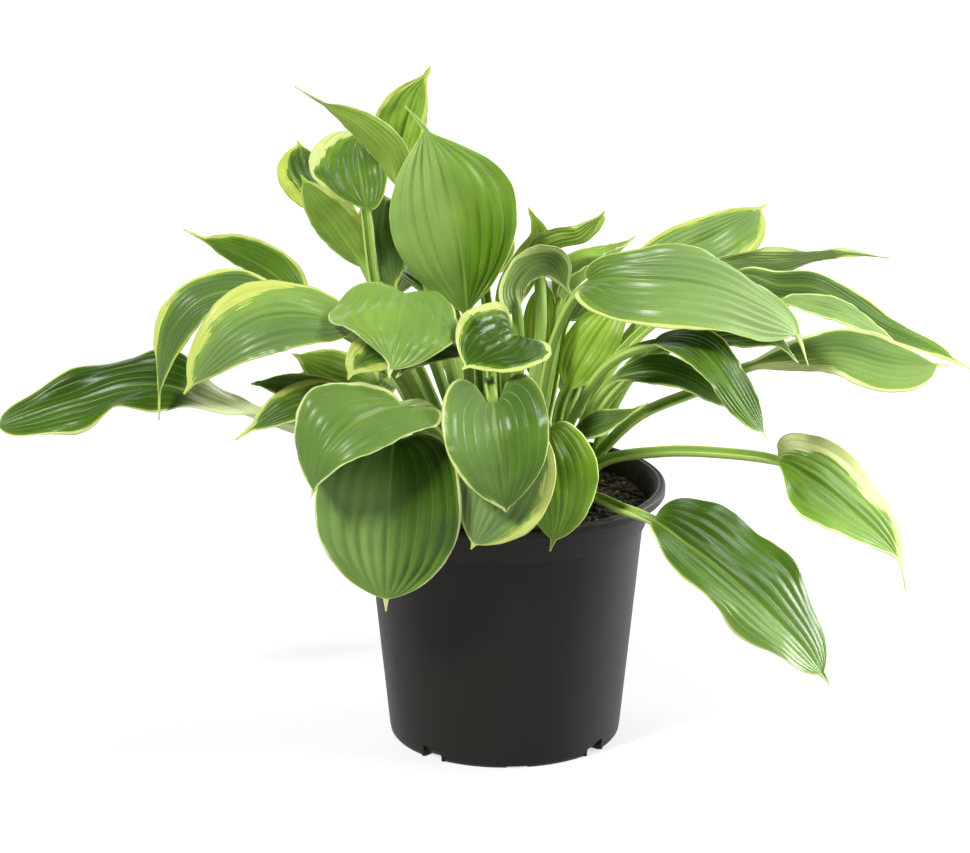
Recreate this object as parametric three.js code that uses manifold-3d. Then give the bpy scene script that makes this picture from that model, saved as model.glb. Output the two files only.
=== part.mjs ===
// A potted hosta: a black nursery pot, the soil in it, and the plant's leaves, each one piece from the foot
// of its stalk in the soil to the tip of its blade. Millimetres, +Z up, with the origin under the middle of
// the pot on the surface that it stands on. The front of the plant looks along -Y.
import * as THREE from "three";
import { mergeVertices } from "three/addons/utils/BufferGeometryUtils.js";
import Module from "manifold-3d";

const wasm = await Module();
wasm.setup();

// The pot: an 8 inch nursery pot with a lip, a wider collar under it and notches in its foot.
const POT_HEIGHT = 164;
const LIP_RADIUS = 100;
const LIP_HEIGHT = 6.5;
const MOUTH_RADIUS = 94.5;
const COLLAR_RADIUS = 92.5;
const COLLAR_FOOT_RADIUS = 88;
const COLLAR_FOOT = 139;
const WALL_TOP_RADIUS = 86.3;
const WALL_MIDDLE = 80;
const WALL_FOOT_RADIUS = 72.5;
const FOOT_RADIUS = 70;
const WALL = 1.8;
const FOOT_ROUND = 6;
const POT_SIDES = 36;
const NOTCH_TURN = 6;
const DRAIN_NOTCH = { count: 4, turn: NOTCH_TURN + 45, width: 14, height: 8, depth: 22 };
const GATE_NOTCH = { count: 4, turn: NOTCH_TURN, width: 13, height: 0.9, depth: 12 };

// The soil fills the pot to a little under the lip.
const SOIL_TOP = 153;
const SOIL_MOUND = 2.5;
const SOIL_ROUGHNESS = 0.7;
const SOIL_RINGS = [60, 30, 0];
const SEAT_GAP = 0.3;

// Every stalk goes this deep into a plain hole in the soil.
const BURIED = 12;
const COLLAR_RISE = 9;
const STALK_HOLE_SIDES = 6;
const STALK_HOLE_RADIUS = 4.9;

// The stalk's section is a thick channel, and the blade's a thin sheet on a rib.
const STALK_FOLD = 34;
const STALK_CURL = 26;
const STALK_THICKNESS = 3.9;
const STALK_EDGE = 1.5;
const BLADE_THICKNESS = 0.75;
const RIB_THICKNESS = 2.4;
const TIP_HALF_WIDTH = 0.55;
const DRIP_HALF_WIDTH = 1.7;
const FOOT_HALF_WIDTH = 3.1;
const BLADE_BEGINS = -0.12;
const BLADE_FULL = 0.14;
const LOBE_FADE = 5;

// The picture that the leaves are laid out in: what is seen from the front, looking a little down.
const PICTURE_WIDTH = 970;
const PICTURE_HEIGHT = 853;
const PICTURE_PITCH = 17;
const PICTURE_DISTANCE = 3000;
const MM_PER_PIXEL = LIP_RADIUS / 160.5;
const POT_AXIS_PIXEL = 505;
const RIM_PIXEL = 481;

const radians = THREE.MathUtils.degToRad;
const mix = THREE.MathUtils.lerp;
const smoothstep = THREE.MathUtils.smoothstep;

const LOOK = new THREE.Vector3(0, Math.cos(radians(PICTURE_PITCH)), -Math.sin(radians(PICTURE_PITCH)));
const VIEW_UP = new THREE.Vector3(0, Math.sin(radians(PICTURE_PITCH)), Math.cos(radians(PICTURE_PITCH)));
const VIEW_RIGHT = new THREE.Vector3(1, 0, 0);
const FOCAL_PIXELS = PICTURE_DISTANCE / MM_PER_PIXEL;
const EYE = new THREE.Vector3(0, 0, POT_HEIGHT)
  .addScaledVector(VIEW_RIGHT, -(POT_AXIS_PIXEL - PICTURE_WIDTH / 2) * MM_PER_PIXEL)
  .addScaledVector(VIEW_UP, (RIM_PIXEL - PICTURE_HEIGHT / 2) * MM_PER_PIXEL)
  .addScaledVector(LOOK, -PICTURE_DISTANCE);

// The point that shows at a pixel of the picture and lies so many millimetres in front of the pot's axis.
function place([across, down, forward]) {
  const ray = LOOK.clone()
    .multiplyScalar(FOCAL_PIXELS)
    .addScaledVector(VIEW_RIGHT, across - PICTURE_WIDTH / 2)
    .addScaledVector(VIEW_UP, PICTURE_HEIGHT / 2 - down);
  return EYE.clone().addScaledVector(ray, (-forward - EYE.y) / ray.y);
}

// A direction given as seen in the picture: to the right, up, and towards the viewer.
function facing([right, up, towards]) {
  return new THREE.Vector3(0, 0, 0)
    .addScaledVector(VIEW_RIGHT, right)
    .addScaledVector(VIEW_UP, up)
    .addScaledVector(LOOK, -towards)
    .normalize();
}

// The leaves. foot is where the stalk leaves the soil, in mm from the pot's axis to the right and back.
// stalk holds points that the stalk passes, and rib the points of the blade's midrib from its base to its
// tip, all as [across, down, forward] in the picture. face is where the upper side looks at mid blade, and
// twist turns the blade about its rib, at base and tip. The leaves at the back, which the picture can't show,
// have their points inMillimetres: [right, back, height] from the pot's foot. left and right are the blade's
// halves, seen from above with the tip away: half is the width in mm, fold the angle that the half rises at
// the rib, and curl how much further it has turned at the edge, each at base and tip, in degrees. A blade is
// widest at its belly. rise and taper are low for round shoulders and high for hollow ones, drip is the share
// of the blade's length that its thin tip takes, and lobe is how far a half reaches back beside the stalk.
// wave is a ripple of the margin: its height in mm, how many there are along the blade, and where the first
// begins.
const LEAVES = {
  front_big: {
    foot: [-22, -38], stalk: [[428, 425, 78]],
    rib: [[396, 440, 101], [391, 480, 112], [388, 530, 116], [386, 575, 113], [386, 611, 108]],
    face: [-0.05, 0.25, 1], belly: 0.42, rise: 0.5, taper: 0.62, lobe: 30, drip: 0.08,
    left: { half: 44, fold: [14, 4], curl: [-20, -14] },
    right: { half: 45, fold: [14, 4], curl: [-20, -14] },
    wave: [1.5, 2, 0.1], bladeSteps: 9,
  },
  front_left: {
    foot: [-16.5, -28.5], stalk: [[432, 410, 62]],
    rib: [[402, 407, 98], [378, 411, 114], [350, 424, 128], [326, 452, 136], [311, 497, 136]],
    face: [-0.1, 0.62, 0.75], belly: 0.34, rise: 0.42, taper: 0.85, lobe: 36, drip: 0.05,
    left: { half: 31, fold: [4, 2], curl: [10, -20], lobe: 26, belly: 0.25, rise: 0.3, taper: 1.2 },
    right: { half: 36, fold: [10, 0], curl: [10, -40], belly: 0.5, rise: 0.75, taper: 0.6, lobe: 12 },
    wave: [2.5, 2, 0.3], bladeSteps: 9,
  },
  front_heart: {
    foot: [-5.5, -28.5], stalk: [[489, 380, 78]],
    rib: [[493, 404, 108], [496, 430, 121], [500, 460, 128], [503, 488, 130], [506, 512, 129]],
    face: [0, 0.3, 1], belly: 0.3, rise: 0.39, taper: 0.92, lobe: 42, drip: 0.02,
    left: { half: 32, fold: [12, 6], curl: [-24, -10] },
    right: { half: 32, fold: [12, 6], curl: [-24, -10] },
    wave: [0.8, 2, 0], bladeSteps: 9,
  },
  front_edged: {
    foot: [0, -38.5], stalk: [[519, 428, 80]],
    rib: [[517, 432, 104], [508, 465, 113], [496, 500, 116], [483, 528, 115], [471, 549, 112]],
    face: [0.05, 0.2, 1], belly: 0.42, rise: 0.58, taper: 0.75, lobe: 20, drip: 0.05,
    left: { half: 31, fold: [8, 4], curl: [-20, -10] },
    right: { half: 27, fold: [8, 4], curl: [-10, -10] },
    wave: [1.6, 2, 0.4],
  },
  front_right: {
    foot: [11, -38], stalk: [[546, 428, 70]],
    rib: [[546, 431, 92], [556, 462, 102], [560, 495, 105], [557, 525, 103], [550, 551, 100]],
    face: [0.2, 0.25, 1], belly: 0.4, rise: 0.57, taper: 0.75, lobe: 18, drip: 0.1,
    left: { half: 25, fold: [6, 4], curl: [-20, -10] },
    right: { half: 24, fold: [6, 4], curl: [-20, -10] },
    wave: [1, 2, 0],
  },
  centre_bright: {
    foot: [-17, -9.5], stalk: [[428, 345, 28]],
    rib: [[406, 294, 46], [402, 308, 66], [398, 328, 86], [393, 352, 98], [389, 378, 104]],
    face: [0, 0.66, 0.75], belly: 0.34, rise: 0.42, taper: 0.95, lobe: 20, drip: 0.07,
    left: { half: 36, fold: [8, 4], curl: [-40, -20], belly: 0.48, taper: 0.62 },
    right: { half: 46, fold: [-8, -4], curl: [-14, -10], belly: 0.25, taper: 1.5, lobe: 8 },
    wave: [3, 2, 0.2], bladeSteps: 9,
  },
  left_shaded: {
    foot: [-22, -19.5], stalk: [[430, 390, 34]],
    rib: [[408, 352, 50], [388, 350, 60], [370, 355, 68], [355, 366, 73], [348, 380, 75]],
    face: [-0.2, 0.45, 0.85], belly: 0.4, rise: 0.53, taper: 0.8, lobe: 10,
    left: { half: 17, fold: [6, 4], curl: [0, 0] },
    right: { half: 16, fold: [6, 4], curl: [0, 0] },
    wave: [1, 2, 0], bladeSteps: 6, stalkSteps: 4,
  },
  left_under: {
    foot: [-37, 0], stalk: [[412, 424, -12]],
    rib: [[374, 386, -24], [354, 378, -30], [333, 370, -35], [312, 362, -39], [292, 354, -42]],
    face: [0, 0.3, 0.95], belly: 0.4, rise: 0.57, taper: 0.85, lobe: 10,
    left: { half: 16, fold: [6, 4], curl: [0, 0] },
    right: { half: 14, fold: [6, 4], curl: [0, 0] },
    wave: [1, 2, 0], bladeSteps: 6, stalkSteps: 4,
  },
  left_arch: {
    foot: [-28.5, -10], stalk: [[400, 372, 22]],
    rib: [[345, 327, 44], [300, 315, 52], [262, 319, 59], [232, 335, 64], [207, 361, 65], [184, 394, 63]],
    face: [-0.15, 0.66, 0.72], belly: 0.33, rise: 0.42, taper: 0.85, lobe: 20, drip: 0.05, twist: [0, -25],
    left: { half: 27, fold: [20, 0], curl: [-10, -40], belly: 0.3, taper: 0.95, lobe: 8 },
    right: { half: 28, fold: [12, 4], curl: [-10, -30], belly: 0.45, taper: 0.75, lobe: 8 },
    wave: [2, 2, 0.3], bladeSteps: 9,
  },
  left_droop: {
    foot: [-38, -11], stalk: [[392, 368, 4]],
    rib: [[278, 302, 18], [240, 290, 24], [198, 300, 30], [169, 334, 34], [160, 379, 34], [159, 420, 32]],
    face: [-0.35, 0.6, 0.7], belly: 0.36, rise: 0.59, taper: 1.05, lobe: 12, drip: 0.1,
    left: { half: 19, fold: [14, 0], curl: [0, -30] },
    right: { half: 22, fold: [14, 0], curl: [-20, -30] },
    wave: [2, 2, 0.1], bladeSteps: 9,
  },
  left_pointed: {
    foot: [-36, 11], stalk: [[372, 345, -44]],
    rib: [[302, 304, -58], [282, 281, -61], [260, 265, -64], [234, 252, -66], [207, 241, -67],
      [183, 229, -68]],
    face: [0.1, 0.55, 0.82], belly: 0.36, rise: 0.6, taper: 1, lobe: 8, drip: 0.15,
    left: { half: 13, fold: [16, 10], curl: [10, 0] },
    right: { half: 17, fold: [14, 6], curl: [-10, -10], belly: 0.4, taper: 0.8 },
    wave: [1, 1.5, 0.2],
  },
  far_left: {
    foot: [-50, -5], stalk: [[340, 439, 22], [300, 430, 19]],
    rib: [[262, 417, 15], [215, 402, 9], [168, 384, 5], [122, 386, 2], [80, 401, 0], [40, 413, 0],
      [-6, 428, 0]],
    face: [-0.1, 0.6, 0.8], belly: 0.6, rise: 0.9, taper: 0.5, drip: 0.02, lobe: 0,
    stalkHalf: 7, twist: [30, -12],
    left: { half: 26, fold: [8, 4], curl: [0, 0], belly: 0.5, rise: 0.75 },
    right: { half: 26, fold: [14, 6], curl: [-10, -10], belly: 0.45, taper: 0.5 },
    wave: [5, 3, 0.15], bladeSteps: 9,
  },
  left_low: {
    foot: [-33, -21], stalk: [[380, 425, 40]],
    rib: [[345, 396, 50], [314, 400, 58], [284, 410, 64], [262, 422, 67], [248, 431, 68], [235, 440, 68]],
    face: [-0.2, 0.5, 0.85], belly: 0.42, rise: 0.83, taper: 0.95, lobe: 6, drip: 0.15,
    left: { half: 14, fold: [8, 6], curl: [10, 0] },
    right: { half: 14, fold: [16, 6], curl: [10, 0] },
    wave: [0.8, 1.5, 0], bladeSteps: 6, stalkSteps: 4,
  },
  left_dark: {
    foot: [-47, 5], stalk: [[370, 410, -6]],
    rib: [[352, 393, -8], [322, 388, -10], [296, 384, -12], [272, 383, -13], [251, 384, -14]],
    face: [0, 0.3, 0.95], belly: 0.42, rise: 0.69, taper: 0.95, lobe: 4,
    left: { half: 13, fold: [8, 4], curl: [0, 0] },
    right: { half: 7.5, fold: [8, 4], curl: [0, 0] },
    wave: [0.8, 1.5, 0.2], bladeSteps: 6, stalkSteps: 4,
  },
  top_big: {
    foot: [-6, -6], stalk: [[474, 345, 8]],
    rib: [[467, 312, 10], [463, 270, 6], [455, 220, 0], [443, 172, -6], [427, 132, -12], [405, 106, -16]],
    face: [0, 0.2, 1], belly: 0.5, rise: 0.95, taper: 0.75, lobe: 6, drip: 0.14,
    left: { half: 40, fold: [10, 4], curl: [-24, -10], rise: 0.85, taper: 0.78 },
    right: { half: 40, fold: [10, 4], curl: [-24, -10], belly: 0.56, rise: 1.05, taper: 1.5 },
    wave: [1.6, 2, 0.2], bladeSteps: 9,
  },
  top_point: {
    foot: [-14, 12], stalk: [[425, 260, -44]],
    rib: [[398, 160, -64], [403, 134, -66], [409, 112, -68], [418, 90, -70], [431, 66, -72]],
    face: [0.1, 0.3, 0.95], belly: 0.4, rise: 0.4, taper: 1.1, lobe: 10,
    left: { half: 21, fold: [26, 12], curl: [10, 0], taper: 1.5 },
    right: { half: 14, fold: [20, 12], curl: [10, 0], taper: 1.4 },
    wave: [1, 1.5, 0.2], bladeSteps: 6, stalkSteps: 4,
  },
  top_swept: {
    foot: [-16, 1], stalk: [[424, 270, -16]],
    rib: [[399, 184, -20], [391, 160, -18], [374, 139, -16], [349, 119, -15], [322, 103, -15],
      [294, 86, -15]],
    face: [0.4, 0.45, -0.8], belly: 0.36, rise: 0.5, taper: 0.8, lobe: 6, drip: 0.22,
    left: { half: 13, fold: [16, 8], curl: [10, 0] },
    right: { half: 12.5, fold: [16, 8], curl: [10, 0] },
    wave: [1, 1.5, 0.2],
  },
  top_round: {
    foot: [-26, 1], stalk: [[380, 303, -12]],
    rib: [[366, 210, -28], [362, 188, -36], [358, 163, -46], [357, 143, -56], [362, 127, -66]],
    face: [-0.1, 0.1, 1], belly: 0.42, rise: 0.51, taper: 0.7, lobe: 10,
    left: { half: 32, fold: [16, 10], curl: [30, 10], belly: 0.55, rise: 1, taper: 0.9, lobe: 4 },
    right: { half: 21, fold: [16, 10], curl: [30, 10] },
    wave: [0.8, 2, 0.2],
  },
  top_folded: {
    foot: [-25, 12], stalk: [[396, 330, -42]],
    rib: [[364, 266, -60], [349, 246, -61], [333, 225, -62], [316, 202, -62], [301, 175, -62]],
    face: [0.2, 0.5, -0.85], belly: 0.4, rise: 0.47, taper: 0.7, lobe: 0,
    left: { half: 17, fold: [12, 6], curl: [10, 0] },
    right: { half: 15, fold: [16, 8], curl: [10, 0] },
    wave: [0.8, 1.5, 0.2], bladeSteps: 6, stalkSteps: 4,
  },
  top_dark: {
    foot: [-20, 23], stalk: [[442, 280, -76], [404, 212, -90]],
    rib: [[388, 200, -80], [384, 222, -73], [385, 246, -70], [389, 270, -68], [397, 292, -67]],
    face: [-0.2, 0.1, 0.95], belly: 0.4, rise: 0.57, taper: 0.85, lobe: 8,
    left: { half: 19, fold: [10, 4], curl: [0, 0] },
    right: { half: 19, fold: [10, 4], curl: [0, 0] },
    wave: [0.6, 2, 0], bladeSteps: 6, stalkSteps: 4,
  },
  top_yellow: {
    foot: [-31, 21], stalk: [[392, 330, -64]],
    rib: [[347, 204, -84], [334, 194, -86], [319, 181, -88], [306, 163, -91], [297, 140, -94]],
    face: [0.1, 0.3, 0.95], belly: 0.4, rise: 0.53, taper: 0.8, lobe: 0,
    left: { half: 23, fold: [10, 4], curl: [0, 0], belly: 0.62, rise: 0.8, taper: 0.5 },
    right: { half: 13, fold: [10, 4], curl: [0, 0] },
    wave: [0.6, 2, 0], bladeSteps: 6, stalkSteps: 4,
  },
  right_horned: {
    foot: [6, 2], stalk: [[541, 330, -22]],
    rib: [[541, 264, -26], [547, 252, -27], [560, 246, -27], [584, 239, -25], [605, 211, -22]],
    face: [0, 0.85, -0.5], belly: 0.3, rise: 0.34, taper: 0.8, lobe: 10,
    left: { half: 16, fold: [36, 16], curl: [20, 20], belly: 0.6, taper: 0.5 },
    right: { half: 14, fold: [16, 10], curl: [30, 20] },
    wave: [1, 1.5, 0.2],
  },
  right_cupped: {
    foot: [16, 7], stalk: [[556, 340, -30]],
    rib: [[562, 298, -36], [578, 283, -38], [598, 268, -42], [618, 253, -46], [636, 236, -50]],
    face: [-0.5, 0.75, 0.2], belly: 0.38, rise: 0.61, taper: 1, lobe: 8,
    left: { half: 24, fold: [30, 16], curl: [20, 10] },
    right: { half: 17, fold: [30, 16], curl: [20, 10] },
    wave: [1, 1.5, 0.2],
  },
  centre_curled: {
    foot: [5, -9], stalk: [[519, 345, 4]],
    rib: [[517, 308, 12], [515, 288, 13], [528, 270, 9], [548, 266, 3], [570, 293, -3]],
    face: [0, 0.6, -0.8], belly: 0.36, rise: 0.48, taper: 0.85, lobe: 4,
    left: { half: 9, fold: [10, 0], curl: [-40, -30] },
    right: { half: 19, fold: [4, 0], curl: [-40, -30] },
    wave: [0.6, 1.5, 0.2],
  },
  right_big: {
    foot: [16, -5], stalk: [[555, 338, 12]],
    rib: [[590, 284, 28], [640, 280, 42], [700, 285, 50], [752, 304, 52], [794, 330, 52], [808, 365, 50]],
    face: [0.1, 0.74, 0.66], belly: 0.42, rise: 0.5, taper: 0.7, lobe: 22, drip: 0.13,
    left: { half: 29, fold: [16, 4], curl: [-6, -20] },
    right: { half: 42, fold: [6, 4], curl: [-10, -20] },
    wave: [3.2, 2, 0.05], bladeSteps: 9,
  },
  back_right_high: {
    foot: [27, 23], stalk: [[596, 340, -80]],
    rib: [[640, 272, -94], [674, 253, -98], [708, 238, -102], [738, 222, -105], [767, 204, -108]],
    face: [0.1, 0.45, 0.9], belly: 0.42, rise: 0.54, taper: 0.75, lobe: 8,
    left: { half: 16, fold: [8, 4], curl: [0, 0], rise: 0.4 },
    right: { half: 27, fold: [8, 4], curl: [0, 0], belly: 0.6, taper: 0.4 },
    wave: [1.2, 2, 0.2],
  },
  right_wavy: {
    foot: [37, 17], stalk: [[622, 345, -48]],
    rib: [[700, 272, -64], [740, 262, -68], [780, 262, -72], [815, 256, -75], [845, 253, -77],
      [889, 258, -78]],
    face: [0, 0.75, -0.62], belly: 0.42, rise: 0.83, taper: 0.9, lobe: 4, drip: 0.2,
    left: { half: 13, fold: [10, 4], curl: [0, 0] },
    right: { half: 10, fold: [10, 4], curl: [0, 0] },
    wave: [3, 2.5, 0.25],
  },
  far_right: {
    foot: [38, 6], stalk: [[620, 355, -26]],
    rib: [[738, 276, -44], [778, 285, -47], [816, 287, -51], [847, 304, -54], [879, 326, -56],
      [925, 346, -58], [971, 369, -59]],
    face: [0.2, 0.66, 0.7], belly: 0.45, rise: 0.5, taper: 0.7, lobe: 6, drip: 0.08,
    left: { half: 12, fold: [12, 4], curl: [0, 0], taper: 0.45 },
    right: { half: 13, fold: [8, 4], curl: [-20, -10] },
    wave: [1.6, 2.5, 0.4], bladeSteps: 9,
  },
  right_fold: {
    foot: [50, 4], stalk: [[640, 365, -8]],
    rib: [[784, 303, -18], [820, 306, -21], [850, 315, -23], [880, 333, -25], [907, 356, -26]],
    face: [0.3, 0.8, 0.5], belly: 0.4, rise: 0.57, taper: 0.85, lobe: 4,
    left: { half: 12, fold: [8, 4], curl: [0, 0] },
    right: { half: 15, fold: [8, 4], curl: [-10, 0], belly: 0.3, taper: 0.65 },
    wave: [0.8, 1.5, 0.2], bladeSteps: 6, stalkSteps: 4,
  },
  right_level: {
    foot: [41, -4], stalk: [[636, 418, 14], [700, 390, 12]],
    rib: [[744, 369, 10], [790, 357, 8], [840, 352, 8], [890, 364, 8], [949, 365, 6]],
    face: [0, 0.55, 0.82], belly: 0.58, rise: 0.8, taper: 0.8, lobe: 0, twist: [18, -10],
    left: { half: 18.5, fold: [10, 4], curl: [-6, 0], belly: 0.72, rise: 1.1, taper: 1 },
    right: { half: 22, fold: [6, 4], curl: [0, -10], belly: 0.8, rise: 1.15, taper: 0.6 },
    wave: [2.4, 2, 0.55], bladeSteps: 9,
  },
  right_droop: {
    foot: [21, -15], stalk: [[604, 369, 44]],
    rib: [[655, 344, 62], [690, 345, 72], [716, 366, 80], [736, 394, 84], [753, 418, 86], [768, 440, 86]],
    face: [0.35, 0.6, 0.7], belly: 0.42, rise: 0.62, taper: 0.85, lobe: 4,
    left: { half: 19, fold: [10, 4], curl: [-6, -10], taper: 0.65 },
    right: { half: 17, fold: [14, 4], curl: [-10, -10], taper: 0.65 },
    wave: [1.6, 2, 0.2], bladeSteps: 9,
  },
  right_shaded: {
    foot: [32, -13], stalk: [[590, 412, 20]],
    rib: [[616, 380, 24], [650, 372, 28], [684, 379, 32], [714, 395, 35], [741, 415, 36]],
    face: [0.1, 0.66, 0.75], belly: 0.42, rise: 0.65, taper: 0.9, lobe: 4,
    left: { half: 14, fold: [8, 4], curl: [0, 0] },
    right: { half: 11, fold: [8, 4], curl: [0, 0] },
    wave: [1.2, 2, 0.2], bladeSteps: 6, stalkSteps: 4,
  },
  right_tail: {
    foot: [28, -1], stalk: [[620, 385, 2]],
    rib: [[668, 349, 10], [706, 337, 16], [744, 335, 22], [776, 341, 26], [798, 363, 28]],
    face: [0, 0.75, 0.66], belly: 0.36, rise: 0.56, taper: 1, lobe: 4,
    left: { half: 15, fold: [8, 4], curl: [0, 0] },
    right: { half: 14, fold: [8, 4], curl: [0, 0] },
    wave: [1.6, 2, 0.5], bladeSteps: 6, stalkSteps: 4,
  },
  right_small: {
    foot: [27, -25], stalk: [[560, 452, 42]],
    rib: [[574, 438, 48], [592, 428, 53], [612, 421, 57], [631, 412, 60], [648, 403, 61]],
    face: [-0.2, 0.6, 0.8], belly: 0.4, rise: 0.67, taper: 1, lobe: 2, drip: 0.15,
    left: { half: 9.5, fold: [16, 8], curl: [6, 0] },
    right: { half: 9.5, fold: [12, 6], curl: [0, 0] },
    wave: [0.5, 1.5, 0.2], bladeSteps: 6, stalkSteps: 4,
  },
  right_reaching: {
    foot: [43, -18], stalk: [[600, 463, 24], [660, 452, 24], [720, 453, 24]],
    rib: [[777, 461, 24], [812, 478, 27], [850, 508, 30], [880, 535, 32], [899, 560, 32], [906, 590, 30]],
    face: [0.15, 0.6, 0.8], belly: 0.36, rise: 0.42, taper: 0.75, lobe: 14, drip: 0.15,
    left: { half: 30, fold: [14, 4], curl: [-10, -10], taper: 0.9 },
    right: { half: 36, fold: [8, 4], curl: [16, 10], lobe: 0, belly: 0.28, rise: 0.9, taper: 1.5 },
    wave: [1.6, 2, 0.3], bladeSteps: 9,
  },
  right_low: {
    foot: [38, -30], stalk: [[592, 497, 54], [620, 508, 76]],
    rib: [[653, 521, 90], [679, 537, 95], [717, 567, 99], [757, 602, 102], [796, 639, 104], [829, 684, 100]],
    face: [0.1, 0.62, 0.8], belly: 0.42, rise: 0.45, taper: 0.7, lobe: 4,
    left: { half: 40, fold: [12, 4], curl: [-20, -10], belly: 0.42, taper: 0.6 },
    right: { half: 25, fold: [6, 4], curl: [-10, -10], belly: 0.55 },
    wave: [4.5, 2.5, 0.35], bladeSteps: 9,
  },
  centre_dark: {
    foot: [0, -18.5], stalk: [[508, 368, 40]],
    rib: [[514, 336, 60], [506, 340, 73], [494, 348, 86], [478, 358, 95], [462, 370, 101]],
    face: [0, 0.55, 0.82], belly: 0.34, rise: 0.39, taper: 0.9, lobe: 30,
    left: { half: 28, fold: [8, 4], curl: [-20, -10] },
    right: { half: 28, fold: [30, 8], curl: [20, 0], belly: 0.55, taper: 0.65 },
    wave: [1, 1.5, 0.2],
  },
  centre_slim: {
    foot: [-11, -19], stalk: [[470, 385, 50]],
    rib: [[466, 354, 64], [448, 351, 72], [430, 355, 79], [412, 363, 85], [396, 378, 89]],
    face: [0, 0.8, 0.6], belly: 0.36, rise: 0.56, taper: 1, lobe: 2,
    left: { half: 11, fold: [8, 4], curl: [0, 0] },
    right: { half: 11, fold: [8, 4], curl: [0, 0] },
    wave: [0.6, 1.5, 0.2], bladeSteps: 6, stalkSteps: 4,
  },
  centre_upright: {
    foot: [-4, 6], stalk: [[492, 350, -28]],
    rib: [[502, 316, -36], [513, 290, -40], [529, 262, -44], [540, 236, -48], [528, 207, -52]],
    face: [0.1, 0.2, 1], belly: 0.4, rise: 0.6, taper: 0.9, lobe: 4,
    left: { half: 11, fold: [10, 4], curl: [0, 0] },
    right: { half: 10, fold: [10, 4], curl: [0, 0] },
    wave: [0.8, 2, 0.2], bladeSteps: 6, stalkSteps: 4,
  },
  young_left: {
    foot: [8, 13], stalk: [[545, 396, -38]],
    rib: [[543, 385, -40], [542, 358, -42], [542, 332, -45], [543, 306, -49], [546, 280, -54]],
    face: [0, 0.2, 1], belly: 0.5, rise: 0.5, taper: 0.5, lobe: 0,
    left: { half: 13, fold: [10, 6], curl: [0, 0] },
    right: { half: 11, fold: [10, 6], curl: [0, 0] },
    wave: [0.5, 1.5, 0.2], bladeSteps: 6, stalkSteps: 4,
  },
  young_right: {
    foot: [27, 11], stalk: [[562, 400, -32]],
    rib: [[568, 388, -34], [584, 358, -38], [600, 332, -42], [616, 310, -46], [630, 292, -50]],
    face: [-0.1, 0.2, 1], belly: 0.42, rise: 0.62, taper: 0.85, lobe: 0,
    left: { half: 17, fold: [10, 6], curl: [0, 0] },
    right: { half: 17, fold: [10, 6], curl: [0, 0] },
    wave: [0.5, 1.5, 0.2], bladeSteps: 6, stalkSteps: 4,
  },
  back_low: {
    foot: [1, 29], inMillimetres: true, stalk: [[-1, 52, 204]],
    rib: [[-4, 80, 228], [-7, 105, 234], [-11, 135, 221], [-15, 158, 190], [-17, 168, 152]],
    face: [0, 0.9, -0.45], belly: 0.5, rise: 0.6, taper: 0.6, lobe: 16,
    left: { half: 28, fold: [12, 4], curl: [-16, -10] },
    right: { half: 31, fold: [12, 4], curl: [-16, -10] },
    wave: [2, 2, 0.2],
  },
  back_low_left: {
    foot: [-13, 37], inMillimetres: true, stalk: [[-24, 60, 200]],
    rib: [[-42, 84, 222], [-54, 104, 226], [-69, 126, 215], [-83, 145, 186], [-91, 153, 150]],
    face: [-0.35, 0.85, -0.4], belly: 0.5, rise: 0.6, taper: 0.6, lobe: 14,
    left: { half: 28, fold: [12, 4], curl: [-16, -10] },
    right: { half: 24, fold: [12, 4], curl: [-16, -10] },
    wave: [2, 2, 0.5],
  },
  back_low_right: {
    foot: [12, 32], inMillimetres: true, stalk: [[22, 58, 196]],
    rib: [[30, 84, 214], [38, 106, 218], [48, 129, 207], [56, 147, 177], [60, 155, 143]],
    face: [0.35, 0.85, -0.4], belly: 0.5, rise: 0.6, taper: 0.6, lobe: 14,
    left: { half: 28, fold: [12, 4], curl: [-16, -10] },
    right: { half: 15, fold: [12, 4], curl: [-16, -10] },
    wave: [2, 2, 0.1],
  },
  back_wide_left: {
    foot: [-30, 33], inMillimetres: true, stalk: [[-43, 58, 190]],
    rib: [[-76, 80, 208], [-97, 94, 211], [-120, 106, 204], [-139, 117, 187], [-152, 125, 167]],
    face: [-0.5, 0.8, -0.3], belly: 0.4, rise: 0.63, taper: 0.95, lobe: 12,
    left: { half: 22, fold: [12, 4], curl: [-16, -10] },
    right: { half: 22, fold: [12, 4], curl: [-16, -10] },
    wave: [2, 2, 0.3],
  },
  back_wide_right: {
    foot: [38, 29], inMillimetres: true, stalk: [[58, 48, 194]],
    rib: [[84, 72, 222], [104, 88, 227], [124, 104, 220], [140, 116, 205], [150, 124, 187]],
    face: [0.5, 0.8, -0.3], belly: 0.4, rise: 0.63, taper: 0.95, lobe: 12,
    left: { half: 24, fold: [12, 4], curl: [-16, -10] },
    right: { half: 24, fold: [12, 4], curl: [-16, -10] },
    wave: [2, 2, 0.6],
  },
  back_high: {
    foot: [-2, 17], inMillimetres: true, stalk: [[-7, 34, 226]],
    rib: [[-14, 54, 282], [-18, 69, 294], [-22, 88, 298], [-26, 108, 292], [-30, 128, 276]],
    face: [-0.1, 0.9, -0.4], belly: 0.4, rise: 0.57, taper: 0.85, lobe: 14,
    left: { half: 27, fold: [12, 4], curl: [-16, -10] },
    right: { half: 27, fold: [12, 4], curl: [-16, -10] },
    wave: [1.6, 2, 0.2],
  },
  back_high_right: {
    foot: [17, 19], inMillimetres: true, stalk: [[29, 46, 206]],
    rib: [[38, 72, 248], [43, 92, 258], [49, 113, 257], [55, 133, 245], [60, 150, 225]],
    face: [0.35, 0.85, -0.4], belly: 0.4, rise: 0.57, taper: 0.85, lobe: 14,
    left: { half: 23, fold: [12, 4], curl: [-16, -10] },
    right: { half: 23, fold: [12, 4], curl: [-16, -10] },
    wave: [1.6, 2, 0.4],
  },
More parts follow.
